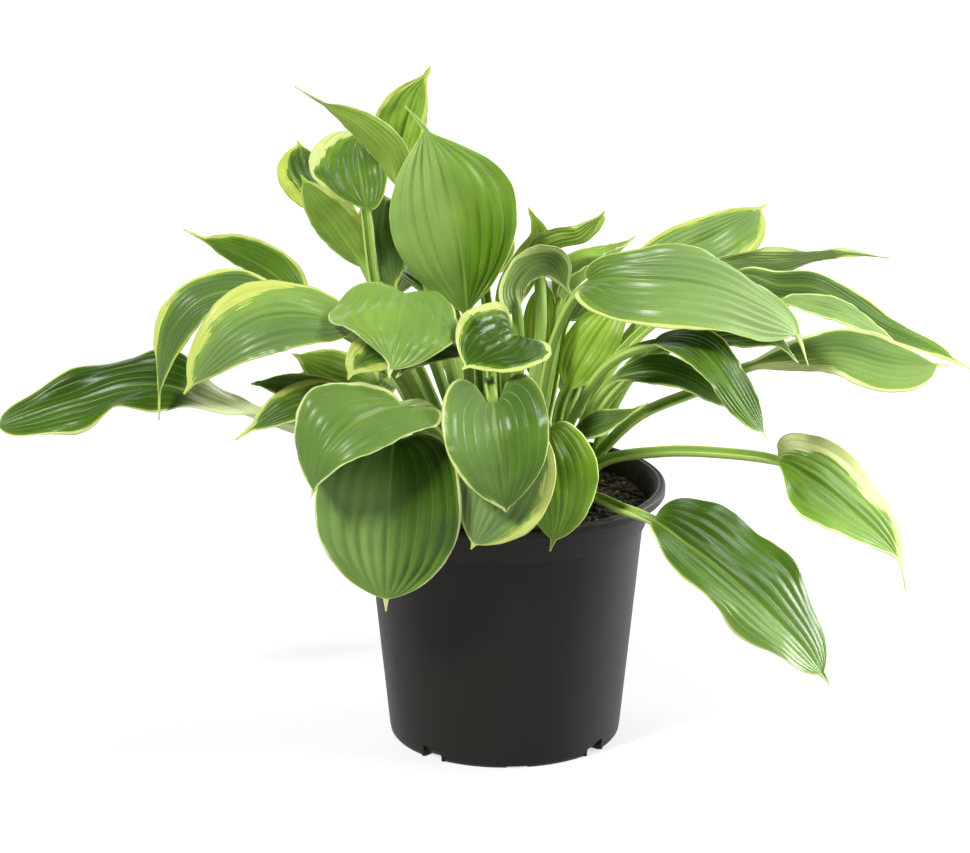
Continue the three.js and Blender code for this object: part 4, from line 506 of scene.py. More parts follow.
# How each leaf looks. The tone runs from 0, deep green, to 1, fresh yellow-green; given per half or from
# base
# to tip, it also paints light and shade: lighter where a part faces the lamps, darker where it lies in
# shadow.
# edge is the width in mm of the pale band along the left and right margins, or its widths from the base to
# the tip, and cream is how white that band is. The grey is the bloom on the upper side, and where it is
# strong on parts that face the lamps it is a painted sheen. dull is how grey the under side is, and pale
# how far the stalk's pale colour runs into the blade. ribbing, swells and crimp are the heights in mm of
# the folds between the veins, of the slow swells over the blade and of the small waves in the margin.
LOOKS = {
    # Painted shade darkens the base of front_big, where the leaves above shade it, and a painted sheen
    # lightens its middle.
    "front_big": dict(
        tone=[[0.06, 0.22, 0.42, 0.48], [0.16, 0.5, 0.62, 0.52]], edge=[2.0, 1.8], cream=0.6,
        grey=[[0.0, 0.0, 0.1, 0.25], [0.1, 0.4, 0.45, 0.15]], ribbing=2.4, swells=5.0,
    ),
    "front_left": dict(
        tone=[[0.5, 0.46, 0.34], [0.5, 0.46, 0.34]], edge=[1.4, 3.0], cream=0.5,
        grey=[[0.3, 0.2], [0.3, 0.2]],
    ),
    # Painted light makes one half of front_heart lighter and greyer, and painted shade makes the other half
    # darker.
    "front_heart": dict(
        tone=[[0.22, 0.38, 0.34, 0.26], [0.3, 0.52, 0.42, 0.3]], edge=[0.8, [0.8, 2.6, 2.6]], cream=0.35,
        grey=[[0.1, 0.1, 0.05], [0.4, 0.3, 0.1]], ribbing=0.55, swells=3.0,
    ),
    "front_edged": dict(
        tone=[0.44, 0.5], edge=[[5.0, 8.0, 7.0, 3.0], [2.5, 3.5]], cream=0.15, grey=0.5, ribbing=0.8,
        swells=4.0,
    ),
    "front_right": dict(
        tone=[[0.62, 0.62, 0.6], [0.5, 0.52, 0.54]], edge=[0.9, 0.7], cream=0.2, grey=0.0, ribbing=0.45,
        swells=4.0,
    ),
    "centre_bright": dict(
        tone=[[0.56, 0.66, 0.7], [0.7, 0.72, 0.7]], edge=[1.4, 1.4], cream=0.6, grey=0.3, ribbing=1.8,
        swells=5.0,
    ),
    "left_shaded": dict(tone=0.2, edge=[[5.0, 6.0], [6.0, 8.0]], cream=0.1),
    "left_under": dict(tone=0.8, edge=[4.0, 2.0], cream=0.1),
    # The grey on left_arch is a painted sheen.
    "left_arch": dict(
        tone=[[0.38, 0.42, 0.44], [0.74, 0.64, 0.54]], edge=[[1.2, 1.4, 1.6], [2.0, 3.0, 11.0, 12.0, 8.0]],
        cream=0.1, grey=[[0.3, 0.5], [0.4, 0.5]], ribbing=1.5, swells=5.0,
    ),
    "left_droop": dict(tone=0.26, edge=[[1.2, 1.4], [3.0, 5.0, 6.0, 4.0]], cream=0.1, grey=0.2),
    "left_pointed": dict(tone=[0.34, 0.42], edge=[0.8, 2.4], cream=0.2, grey=0.05, ribbing=0.4),
    "far_left": dict(
        tone=[[0.1, 0.2, 0.3, 0.36], [0.0, 0.04, 0.14, 0.3]], edge=[1.2, 1.6], cream=0.4, grey=0.0,
        pale=0.32, ribbing=0.5, swells=5.0,
    ),
    "left_low": dict(tone=0.2, edge=[[1.0, 1.4], [3.0, 5.0, 4.0, 1.5]], cream=0.1),
    "left_dark": dict(tone=0.06, edge=[1.4, 1.0], cream=0.1),
    # Painted light makes one half of top_big lighter with a sheen, and painted shade darkens its base at
    # the crown.
    "top_big": dict(
        tone=[[0.5, 0.7, 0.82, 0.86], [0.3, 0.54, 0.66, 0.72]], edge=[0.6, 0.6], cream=0.4,
        grey=[[0.1, 0.4, 0.6, 0.6], [0.0, 0.0, 0.2, 0.4]], ribbing=2.0, swells=4.5,
    ),
    "top_point": dict(tone=0.82, edge=[[2.0, 5.0, 2.0], [2.0, 5.0, 1.5]], cream=0.15, grey=0.1),
    "top_swept": dict(tone=0.9, edge=[0.9, 0.9], cream=0.9, dull=0.0),
    "top_round": dict(tone=0.42, edge=[[2.0, 5.0, 10.0, 11.0], [1.0, 1.0, 1.6]], cream=0.3, grey=0.1),
    "top_folded": dict(tone=0.62, edge=[3.0, 2.0], cream=0.1, dull=0.0),
    "top_dark": dict(tone=[0.26, 0.36], edge=[3.0, 1.2], cream=0.1, grey=0.3),
    "top_yellow": dict(tone=0.24, edge=[9.0, 1.2], cream=0.0),
    # Painted light: the under side of right_horned is coloured as fresh as an upper side, though it lies in
    # shade.
    "right_horned": dict(tone=0.8, edge=[2.0, 1.6], cream=0.4, dull=0.0),
    "right_cupped": dict(tone=0.8, edge=[1.0, 1.4], cream=0.5, grey=0.2, dull=0.1),
    "centre_curled": dict(tone=0.3, edge=[1.6, [3.0, 7.0, 6.0, 1.5]], cream=0.4, grey=0.1, dull=0.35),
    # Painted shade darkens the base of right_big, and its grey rises to a painted sheen towards the tip.
    "right_big": dict(
        tone=[[0.3, 0.56, 0.78, 0.84], [0.36, 0.62, 0.8, 0.84]], edge=[0.9, [3.0, 3.0, 1.4, 1.0]],
        cream=0.25, grey=[[0.0, 0.6, 1.0, 1.0], [0.0, 0.5, 1.0, 1.0]], ribbing=2.3, swells=5.0,
    ),
    "back_right_high": dict(
        tone=[0.62, 0.56], edge=[[2.0, 3.0], [6.0, 3.0, 6.0, 5.0]], cream=0.1, grey=0.55,
    ),
    # Painted light: the tone and grey of right_wavy are raised to lighten its under side, which faces away
    # from the lamps.
    "right_wavy": dict(tone=0.85, edge=[1.0, [4.0, 3.0, 1.6, 1.0]], cream=0.4, grey=1.0, dull=0.1),
    "far_right": dict(
        tone=[[0.1, 0.2, 0.4, 0.6], [0.1, 0.14, 0.3, 0.5]], edge=[1.2, [1.2, 1.6, 3.0, 2.0]], cream=0.3,
        grey=0.1, ribbing=0.6,
    ),
    "right_fold": dict(tone=0.6, edge=[1.6, 1.4], cream=0.3, grey=0.5),
    # Painted shade darkens the base of right_level, and painted light with a sheen lightens it towards the
    # tip.
    "right_level": dict(
        tone=[[0.14, 0.26, 0.5, 0.64], [0.3, 0.56, 0.7, 0.8]], edge=[[1.4, 3.0, 1.6], [6.0, 6.0, 2.0, 1.4]],
        cream=0.5, grey=[[0.1, 0.3, 0.6], [0.3, 0.5, 0.7]],
    ),
    "right_droop": dict(tone=[0.3, 0.34], edge=[0.8, 1.0], cream=0.3, grey=0.0),
    "right_shaded": dict(tone=0.16, edge=[0.8, 1.2], cream=0.3, grey=0.0),
    "right_tail": dict(tone=0.2, edge=[1.0, 1.0], cream=0.3, grey=0.0),
    "right_small": dict(tone=0.26, edge=[1.2, 1.6], cream=0.3),
    # Painted light: the band of right_reaching is made whiter where it lies in shade, and its grey towards
    # the tip is a painted sheen.
    "right_reaching": dict(
        tone=[[0.5, 0.6, 0.7], [0.45, 0.6, 0.7]], edge=[[14.0, 13.0, 9.0, 5.0], 2.0], cream=0.45,
        grey=[[0.0, 0.3, 0.4], [0.0, 0.2, 0.4]], ribbing=0.7,
    ),
    "right_low": dict(
        tone=[[0.1, 0.24, 0.34, 0.4], [0.2, 0.36, 0.5, 0.56]], edge=[0.2, 1.2], cream=0.4,
        grey=[[0.0, 0.0, 0.2], [0.0, 0.2, 0.5]], ribbing=0.7, swells=5.0,
    ),
    "centre_dark": dict(tone=0.14, edge=[4.0, 4.0], cream=0.2, grey=0.0),
    "centre_slim": dict(tone=0.1, edge=[2.0, 2.0], cream=0.3),
    # Painted light: the under side of centre_upright is coloured as fresh as an upper side, though it lies
    # in shade.
    "centre_upright": dict(tone=0.95, edge=[1.2, 1.2], cream=0.2, dull=0.0),
    "young_left": dict(tone=0.92, edge=[0.6, 0.6], cream=0.2, grey=0.0),
    "young_right": dict(tone=0.92, edge=[0.6, 0.6], cream=0.2, grey=0.0),
}
PLAIN_LOOK = dict(
    tone=0.36, edge=[1.8, 1.8], cream=0.3, grey=0.1, dull=0.4, pale=0.05,
    ribbing=0.95, swells=3.6, crimp=0.3,
)

# Columns and rows of a leaf's fine mesh, by how many rows its solid has. per_vein is the columns to a vein.
FINE = {
    9: {"veins": 5, "per_vein": 6, "rows": 70, "stalk_rows": 20},
    8: {"veins": 5, "per_vein": 6, "rows": 58, "stalk_rows": 18},
    6: {"veins": 4, "per_vein": 5, "rows": 42, "stalk_rows": 16},
}

# A leaf's map, in shares of its width and height: the border, the size of one side of the leaf, the far
# edge of the under side, the strips between for the two margins, and the caps for the foot and the tip.
MAP_BORDER = 0.01
MAP_SIDE_WIDTH = 0.46
MAP_SIDE_HEIGHT = 0.98
MAP_UNDER_EDGE = 0.97
MAP_STRIPS = (0.481, 0.494)
MAP_STRIP_WIDTH = 0.005
MAP_CAP_EDGES = (0.982, 0.99)
MAP_CAP_FEET = (0.02, 0.9)
MAP_CAP_HEIGHT = 0.06


def mix(a, b, share):
    return a + (b - a) * share


def smoothstep(x, low, high):
    x = np.clip((x - low) / (high - low), 0.0, 1.0)
    return x * x * (3 - 2 * x)


def unit(v):
    return v / np.maximum(np.linalg.norm(v, axis=-1, keepdims=True), 1e-12)


def value_noise(x, y, seed):
    """Smooth noise from 0 to 1 on a unit grid, the same each run."""
    xi, yi = np.floor(x).astype(int), np.floor(y).astype(int)
    fx, fy = x - xi, y - yi
    fx, fy = fx * fx * (3 - 2 * fx), fy * fy * (3 - 2 * fy)

    def corner(i, j):
        h = (i * 374761393 + j * 668265263 + seed * 974711) & 0xFFFFFFFF
        h = ((h ^ (h >> 13)) * 1274126177) & 0xFFFFFFFF
        return ((h ^ (h >> 16)) & 0xFFFF) / 65535.0

    top = mix(corner(xi, yi), corner(xi + 1, yi), fx)
    low = mix(corner(xi, yi + 1), corner(xi + 1, yi + 1), fx)
    return mix(top, low, fy)


def place(point):
    """The point that shows at a pixel of the picture and lies so many mm in front of the pot's axis."""
    across, down, forward = point
    ray = (
        FOCAL_PIXELS * LOOK
        + (across - PICTURE_WIDTH / 2) * VIEW_RIGHT
        + (PICTURE_HEIGHT / 2 - down) * VIEW_UP
    )
    return EYE + ray * (-forward - EYE[1]) / ray[1]


def facing(direction):
    """A direction given as seen in the picture: to the right, up, and towards the viewer."""
    right, up, towards = direction
    return unit(right * VIEW_RIGHT + up * VIEW_UP - towards * LOOK)


def smooth_line(points, count):
    """A centripetal Catmull-Rom curve through the points, and its tangents, in even steps."""
    points = np.array(points, float)
    last = len(points) - 1
    places, ways = [], []
    for i in range(count + 1):
        whole = min(int(i / count * last), last - 1)
        w = i / count * last - whole
        p1, p2 = points[whole], points[whole + 1]
        p0 = points[whole - 1] if whole > 0 else 2 * points[0] - points[1]
        p3 = points[whole + 2] if whole + 2 <= last else 2 * points[last] - points[last - 1]
        d0, d1, d2 = (np.linalg.norm(b - a) ** 0.5 for a, b in ((p0, p1), (p1, p2), (p2, p3)))
        t1 = ((p1 - p0) / d0 - (p2 - p0) / (d0 + d1) + (p2 - p1) / d1) * d1
        t2 = ((p2 - p1) / d1 - (p3 - p1) / (d1 + d2) + (p3 - p2) / d2) * d1
        c2 = -3 * p1 + 3 * p2 - 2 * t1 - t2
        c3 = 2 * p1 - 2 * p2 + t1 + t2
        places.append(p1 + t1 * w + c2 * w**2 + c3 * w**3)
        ways.append(t1 + 2 * c2 * w + 3 * c3 * w**2)
    return np.array(places), unit(np.array(ways))


def centre_line(leaf):
    """A leaf's line from under the soil to its tip: places, ways ahead, ways that the upper side faces, how
    far along the blade each station is (under 0 on the stalk), and how far along the line in mm."""
    foot = np.array([leaf["foot"][0], leaf["foot"][1], SOIL_TOP], float)
    seen = [*leaf["stalk"], *leaf["rib"]]
    above = [np.array(p, float) if leaf["in_millimetres"] else place(p) for p in seen]
    rise = unit(unit(above[0] - foot) + np.array([0.0, 0.0, COLLAR_UPRIGHT]))
    points = [foot - rise * BURIED, foot, foot + rise * COLLAR_RISE, *above]
    places, ahead = smooth_line(points, STATIONS)
    risen = np.concatenate([[0.0], np.cumsum(np.linalg.norm(np.diff(places, axis=0), axis=1))])
    base_step = (len(points) - len(leaf["rib"])) / (len(points) - 1) * STATIONS
    base = np.interp(base_step, np.arange(STATIONS + 1), risen)
    along = (risen - base) / (risen[-1] - base)
    middle = int(np.argmax(along > MID_BLADE))
    ups = np.zeros_like(places)
    for step in (1, -1):
        up = facing(leaf["face"])
        i = middle
        while 0 <= i <= STATIONS:
            up = unit(up - ahead[i] * up.dot(ahead[i]))
            ups[i] = up
            i += step
    return places, ahead, ups, along, risen


def outline(along, shape):
    """The half width of a blade as a share of its widest: it rises from the base to the belly, and tapers
    from there to where the drip tip begins."""
    share = np.clip(along / (1 - shape["drip"]), 0, 1)
    rising = share < shape["belly"]
    near = np.where(rising, share / shape["belly"], (1 - share) / (1 - shape["belly"]))
    return (near * (2 - near)) ** np.where(rising, shape["rise"], shape["taper"])


def ribbed(leaf, along, across, width, vein, fine, number):
    """How far the surface stands out: folds between the veins, and slow swells over the whole blade."""
    patch = value_noise(along * 4.0 + number * 7.1, across * 2.2 + 40.0, RIBBING_SEED)
    height = leaf["ribbing"] * mix(0.2, 1.3, patch) * np.minimum(1, width / 30)
    folds = height * -0.5 * np.cos(2 * np.pi * vein)
    swells = value_noise(along * 5.0 + number * 3.3, across * 2.6 + 20.0, SWELLS_SEED) - 0.5
    flat_margin = smoothstep(1 - np.abs(across), 0.0, 0.25)
    return folds * fine * flat_margin + leaf["swells"] * swells * fine * np.minimum(1, width / 25)


def crimped(leaf, along, out, sign, phase):
    """Small waves of two lengths that crimp the outermost part of the margin."""
    long_waves = np.sin(2 * np.pi * (CRIMP_WAVES[0] * along + phase * 3))
    short_waves = np.sin(2 * np.pi * (CRIMP_WAVES[1] * along + sign))
    return leaf["crimp"] * out**6 * (long_waves + 0.6 * short_waves)


def leaf_grid(leaf, line, rows, across, veins, number):
    """The fine leaf: its upper and lower points as grids of rows from the foot to the tip, and what its
    material reads there."""
    places, ahead, ups, line_along, line_risen = line

    def at(values):
        return np.stack([np.interp(rows, line_along, values[:, k]) for k in range(3)], 1)

    spine, ahead, ups = at(places), unit(at(ahead)), unit(at(ups))
    risen = np.interp(rows, line_along, line_risen)
    along = np.maximum(rows, 0)
    blade = smoothstep(rows, BLADE_BEGINS, BLADE_FULL)
    turn = np.radians(mix(leaf["twist"][0], leaf["twist"][1], along))[:, None]
    up = ups * np.cos(turn) + np.cross(ahead, ups) * np.sin(turn)
    side = np.cross(ahead, up)
    full_width = smoothstep(risen, *STALK_WIDENS)
    stalk_half = mix(FOOT_HALF_WIDTH, leaf["stalk_half"], full_width) * (1 - along) ** 2
    rib = mix(STALK_THICKNESS, mix(RIB_THICKNESS, BLADE_THICKNESS, np.minimum(1, along * 2)), blade)
    thin_edge = mix(STALK_EDGE, BLADE_THICKNESS, blade)

    s = across[None, :]
    out = np.abs(s)
    sign = np.sign(s)
    is_left = s < 0
    left, right = leaf["left"], leaf["right"]

    def halves(read):
        return np.where(is_left, read(left)[:, None], read(right)[:, None])

    # The section of each row: an arc that starts at the fold's angle and bends by the curl.
    spread = halves(lambda h: h["half"] * outline(along, {**leaf, **h}))
    tail = DRIP_HALF_WIDTH * np.minimum((1 - along) / leaf["drip"], 1)[:, None] ** 0.8
    width = np.maximum((stalk_half[:, None] ** 4 + spread**4 + tail**4) ** 0.25, TIP_HALF_WIDTH)
    start = np.radians(halves(lambda h: mix(STALK_FOLD, mix(h["fold"][0], h["fold"][1], along), blade)))
    bend = np.radians(halves(lambda h: mix(STALK_CURL, mix(h["curl"][0], h["curl"][1], along), blade)))
    bend = np.where(np.abs(bend) < 1e-4, 1e-4, bend)
    wide = width / bend * (np.sin(start + bend * out) - np.sin(start))
    height, waves, phase = leaf["wave"]
    swell = np.sin(np.pi * along)[:, None] * blade[:, None]
    wave_place = waves * along[:, None] + phase + np.where(is_left, 0.5, 0)
    ripple = height * out**3 * np.sin(2 * np.pi * wave_place)
    high = width / bend * (np.cos(start) - np.cos(start + bend * out)) + ripple * swell
    half_width = np.where(is_left, left["half"], right["half"])
    lobe = np.where(is_left, left.get("lobe", leaf["lobe"]), right.get("lobe", leaf["lobe"]))
    back = -lobe * out**2 * (spread / half_width) * ((1 - along) ** LOBE_FADE)[:, None]
    angle = start + bend * out
    point = (
        spine[:, None]
        + side[:, None] * (sign * wide)[..., None]
        + up[:, None] * high[..., None]
        + ahead[:, None] * back[..., None]
    )
    normal = up[:, None] * np.cos(angle)[..., None] - side[:, None] * (sign * np.sin(angle))[..., None]
    thick = mix(thin_edge[:, None], rib[:, None], np.exp(-((out * width) ** 2) / RIB_SPREAD**2))
    thick = thick * mix(1.0, MARGIN_THINNING, smoothstep(out, MARGIN_BEGINS, 1.0))

    # Finer than the solid: the ribbed surface, a channel over the midrib and a crimped margin.
    vein = out * veins
    fine = smoothstep(rows, 0.02, 0.2)[:, None] * smoothstep(1 - along, 0.02, 0.3)[:, None]
    raised = ribbed(leaf, along[:, None], s, width, vein, fine, number)
    channel = -CHANNEL_DEPTH * np.exp(-((out * width / CHANNEL_SPREAD) ** 2)) * fine
    channel = channel * (1 - along[:, None] * 0.8)
    crimp = crimped(leaf, along[:, None], out, sign, phase) * swell
    upper = point + normal * (BLADE_THICKNESS / 2 + raised + channel + crimp)[..., None]
    lower = point + normal * (BLADE_THICKNESS / 2 - thick + raised + crimp)[..., None]
    shown = {
        "across": np.broadcast_to(s, width.shape),
        "along": np.broadcast_to(rows[:, None], width.shape),
        "rim": (1 - out) * width,
        "vein": np.broadcast_to(vein, width.shape),
        "pitch": width / veins,
        "risen": np.broadcast_to(risen[:, None], width.shape),
    }
    return upper, lower, shown


def build_mesh(name, points, faces, uvs=None, values=None, material=None):
    mesh = bpy.data.meshes.new(name)
    mesh.from_pydata((np.asarray(points, float) * MM).tolist(), [], faces)
    mesh.shade_smooth()
    for key, numbers in (values or {}).items():
        layer = mesh.attributes.new(key, "FLOAT", "POINT")
        layer.data.foreach_set("value", np.ascontiguousarray(numbers, np.float32).ravel())
    if uvs is not None:
        layer = mesh.uv_layers.new(name="OFBake")
        layer.data.foreach_set("uv", np.ascontiguousarray(uvs, np.float32).ravel())
    ob = bpy.data.objects.new(name, mesh)
    bpy.context.scene.collection.objects.link(ob)
    if material is not None:
        mesh.materials.append(material)
    mesh.validate()
    return ob


def over_blade(value, rows, across):
    """A look's value over the leaf: one for all, or one for each half. A list runs from base to tip."""
    halves = value if isinstance(value, list) else [value, value]
    left, right = (np.interp(rows, np.linspace(0, 1, np.size(v)), np.atleast_1d(v)) for v in halves)
    return mix(left[:, None], right[:, None], smoothstep(across, -0.35, 0.35)[None, :])


def fine_leaf(name, leaf, number):
    detail = FINE[leaf["blade_steps"]]
    veins = detail["veins"]
    across = np.linspace(-1, 1, 2 * veins * detail["per_vein"] + 1)
    line = centre_line(leaf)
    line_along = line[3]
    even = np.linspace(0, 1, detail["rows"] + 1)
    blade_rows = mix(even, (1 - np.cos(np.pi * even)) / 2, ROW_CROWDING)
    rows = np.concatenate([np.linspace(line_along[0], 0, detail["stalk_rows"], endpoint=False), blade_rows])
    upper, lower, shown = leaf_grid(leaf, line, rows, across, veins, number)
    count, n = len(rows), len(across)
    side_points = count * n
    points = np.concatenate([upper.reshape(-1, 3), lower.reshape(-1, 3)])
    grid = np.arange(side_points).reshape(count, n)
    under = grid + side_points
    a, b, c, d = grid[:-1, :-1], grid[:-1, 1:], grid[1:, 1:], grid[1:, :-1]
    top = np.stack([a, b, c, d], -1).reshape(-1, 4)
    low = np.stack([a, d, c, b], -1).reshape(-1, 4) + side_points
    left = np.stack([grid[:-1, 0], grid[1:, 0], under[1:, 0], under[:-1, 0]], -1)
    right = np.stack([under[:-1, -1], under[1:, -1], grid[1:, -1], grid[:-1, -1]], -1)
    foot_cap = np.stack([under[0, :-1], under[0, 1:], grid[0, 1:], grid[0, :-1]], -1)
    tip_cap = np.stack([grid[-1, :-1], grid[-1, 1:], under[-1, 1:], under[-1, :-1]], -1)
    faces = np.concatenate([top, low, left, right, foot_cap, tip_cap])

    # The map: the upper side on the left, the under side on the right, and the edges between and beside.
    share = np.repeat((shown["risen"][:, 0] / shown["risen"][-1, 0])[:, None], n, 1).ravel()
    wide = np.broadcast_to((across + 1) / 2, (count, n)).ravel()
    high = MAP_BORDER + MAP_SIDE_HEIGHT * share
    upper_map = np.stack([MAP_BORDER + MAP_SIDE_WIDTH * wide, high], 1)
    lower_map = np.stack([MAP_UNDER_EDGE - MAP_SIDE_WIDTH * wide, high], 1)
    uv = np.concatenate([upper_map, lower_map])[faces]
    start = len(top) + len(low)
    for strip, x in zip((left, right), MAP_STRIPS):
        end = start + len(strip)
        uv[start:end, :, 0] = np.where(strip < side_points, x, x + MAP_STRIP_WIDTH)
        uv[start:end, :, 1] = high[strip % side_points]
        start = end
    for cap, y in zip((foot_cap, tip_cap), MAP_CAP_FEET):
        end = start + len(cap)
        uv[start:end, :, 0] = np.where(cap < side_points, *MAP_CAP_EDGES)
        uv[start:end, :, 1] = y + MAP_CAP_HEIGHT * wide[cap % side_points]
        start = end

    # What the material reads: the same on the upper and the lower points, apart from which side it is.
    values = {key: np.tile(numbers.ravel(), 2) for key, numbers in shown.items()}
    # The tone and the grey carry painted light, shade and sheen as well as the leaf's own colour.
    for key in ("edge", "tone", "grey"):
        values[key] = np.tile(over_blade(leaf[key], rows, across).ravel(), 2)
    values["under"] = np.repeat([0.0, 1.0], side_points)
    for key in ("cream", "dull", "pale"):
        values[key] = np.full(2 * side_points, leaf[key])
    values["seed"] = np.full(2 * side_points, number * 3.7 + 0.3)
    ob = build_mesh(f"fine_{name}", points, faces.tolist(), uv.reshape(-1, 2), values, LEAF)
    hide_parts(f"leaf_{name}")
    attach(ob, "root")


class Nodes:
    """A short way to write a material's nodes."""

    def __init__(self, name):
        self.material = bpy.data.materials.new(name)
        self.material.use_nodes = True
        self.tree = self.material.node_tree
        self.tree.nodes.clear()

    def add(self, kind, **settings):
        node = self.tree.nodes.new(kind)
        for key, value in settings.items():
            setattr(node, key, value)
        return node

    def set(self, socket, value):
        if isinstance(value, bpy.types.NodeSocket):
            self.tree.links.new(value, socket)
        elif isinstance(value, (tuple, list)):
            needs_alpha = len(socket.default_value) == 4 and len(value) == 3
            socket.default_value = (*value, 1.0) if needs_alpha else value
        else:
            socket.default_value = value

    def read(self, names):
        """The values that the mesh holds under these names."""
        nodes = (self.add("ShaderNodeAttribute", attribute_name=name) for name in names.split())
        return (node.outputs["Fac"] for node in nodes)

    def math(self, operation, *values, clamp=False):
        node = self.add("ShaderNodeMath", operation=operation, use_clamp=clamp)
        for socket, value in zip(node.inputs, values):
            self.set(socket, value)
        return node.outputs[0]

    def times(self, a, b):
        return self.math("MULTIPLY", a, b)

    def plus(self, a, b, clamp=False):
        return self.math("ADD", a, b, clamp=clamp)

    def minus(self, a, b):
        return self.math("SUBTRACT", a, b)

    def scaled(self, value, by, then_add):
        return self.math("MULTIPLY_ADD", value, by, then_add)

    def step(self, value, low, high, to_low=0.0, to_high=1.0):
        node = self.add("ShaderNodeMapRange", interpolation_type="SMOOTHSTEP")
        names = ("Value", "From Min", "From Max", "To Min", "To Max")
        for key, number in zip(names, (value, low, high, to_low, to_high)):
            self.set(node.inputs[key], number)
        return node.outputs[0]

    def blend(self, share, a, b):
        """A mix of two colours, which this node takes at its inputs 6 and 7 and gives at its output 2."""
        node = self.add("ShaderNodeMix", data_type="RGBA", blend_type="MIX")
        for i, value in ((0, share), (6, a), (7, b)):
            self.set(node.inputs[i], value)
        return node.outputs[2]

    def vector(self, x, y, z):
        node = self.add("ShaderNodeCombineXYZ")
        for socket, value in zip(node.inputs, (x, y, z)):
            self.set(socket, value)
        return node.outputs[0]

    def noise(self, vector, scale, detail, roughness):
        node = self.add("ShaderNodeTexNoise")
        self.set(node.inputs["Vector"], vector)
        for key, number in (("Scale", scale), ("Detail", detail), ("Roughness", roughness)):
            self.set(node.inputs[key], number)
        return node.outputs["Fac"]

    def surface(self, colour, roughness, bump=None, **plain):
        shader = self.add("ShaderNodeBsdfPrincipled")
        self.set(shader.inputs["Base Color"], colour)
        self.set(shader.inputs["Roughness"], roughness)
        if bump is not None:
            height, distance = bump
            node = self.add("ShaderNodeBump")
            self.set(node.inputs["Height"], height)
            self.set(node.inputs["Distance"], distance)
            self.tree.links.new(node.outputs[0], shader.inputs["Normal"])
        for key, value in plain.items():
            self.set(shader.inputs[key.replace("_", " ")], value)
        return shader

    def finish(self, shader):
        out = self.add("ShaderNodeOutputMaterial")
        self.tree.links.new(shader.outputs[0], out.inputs["Surface"])
        return self.material


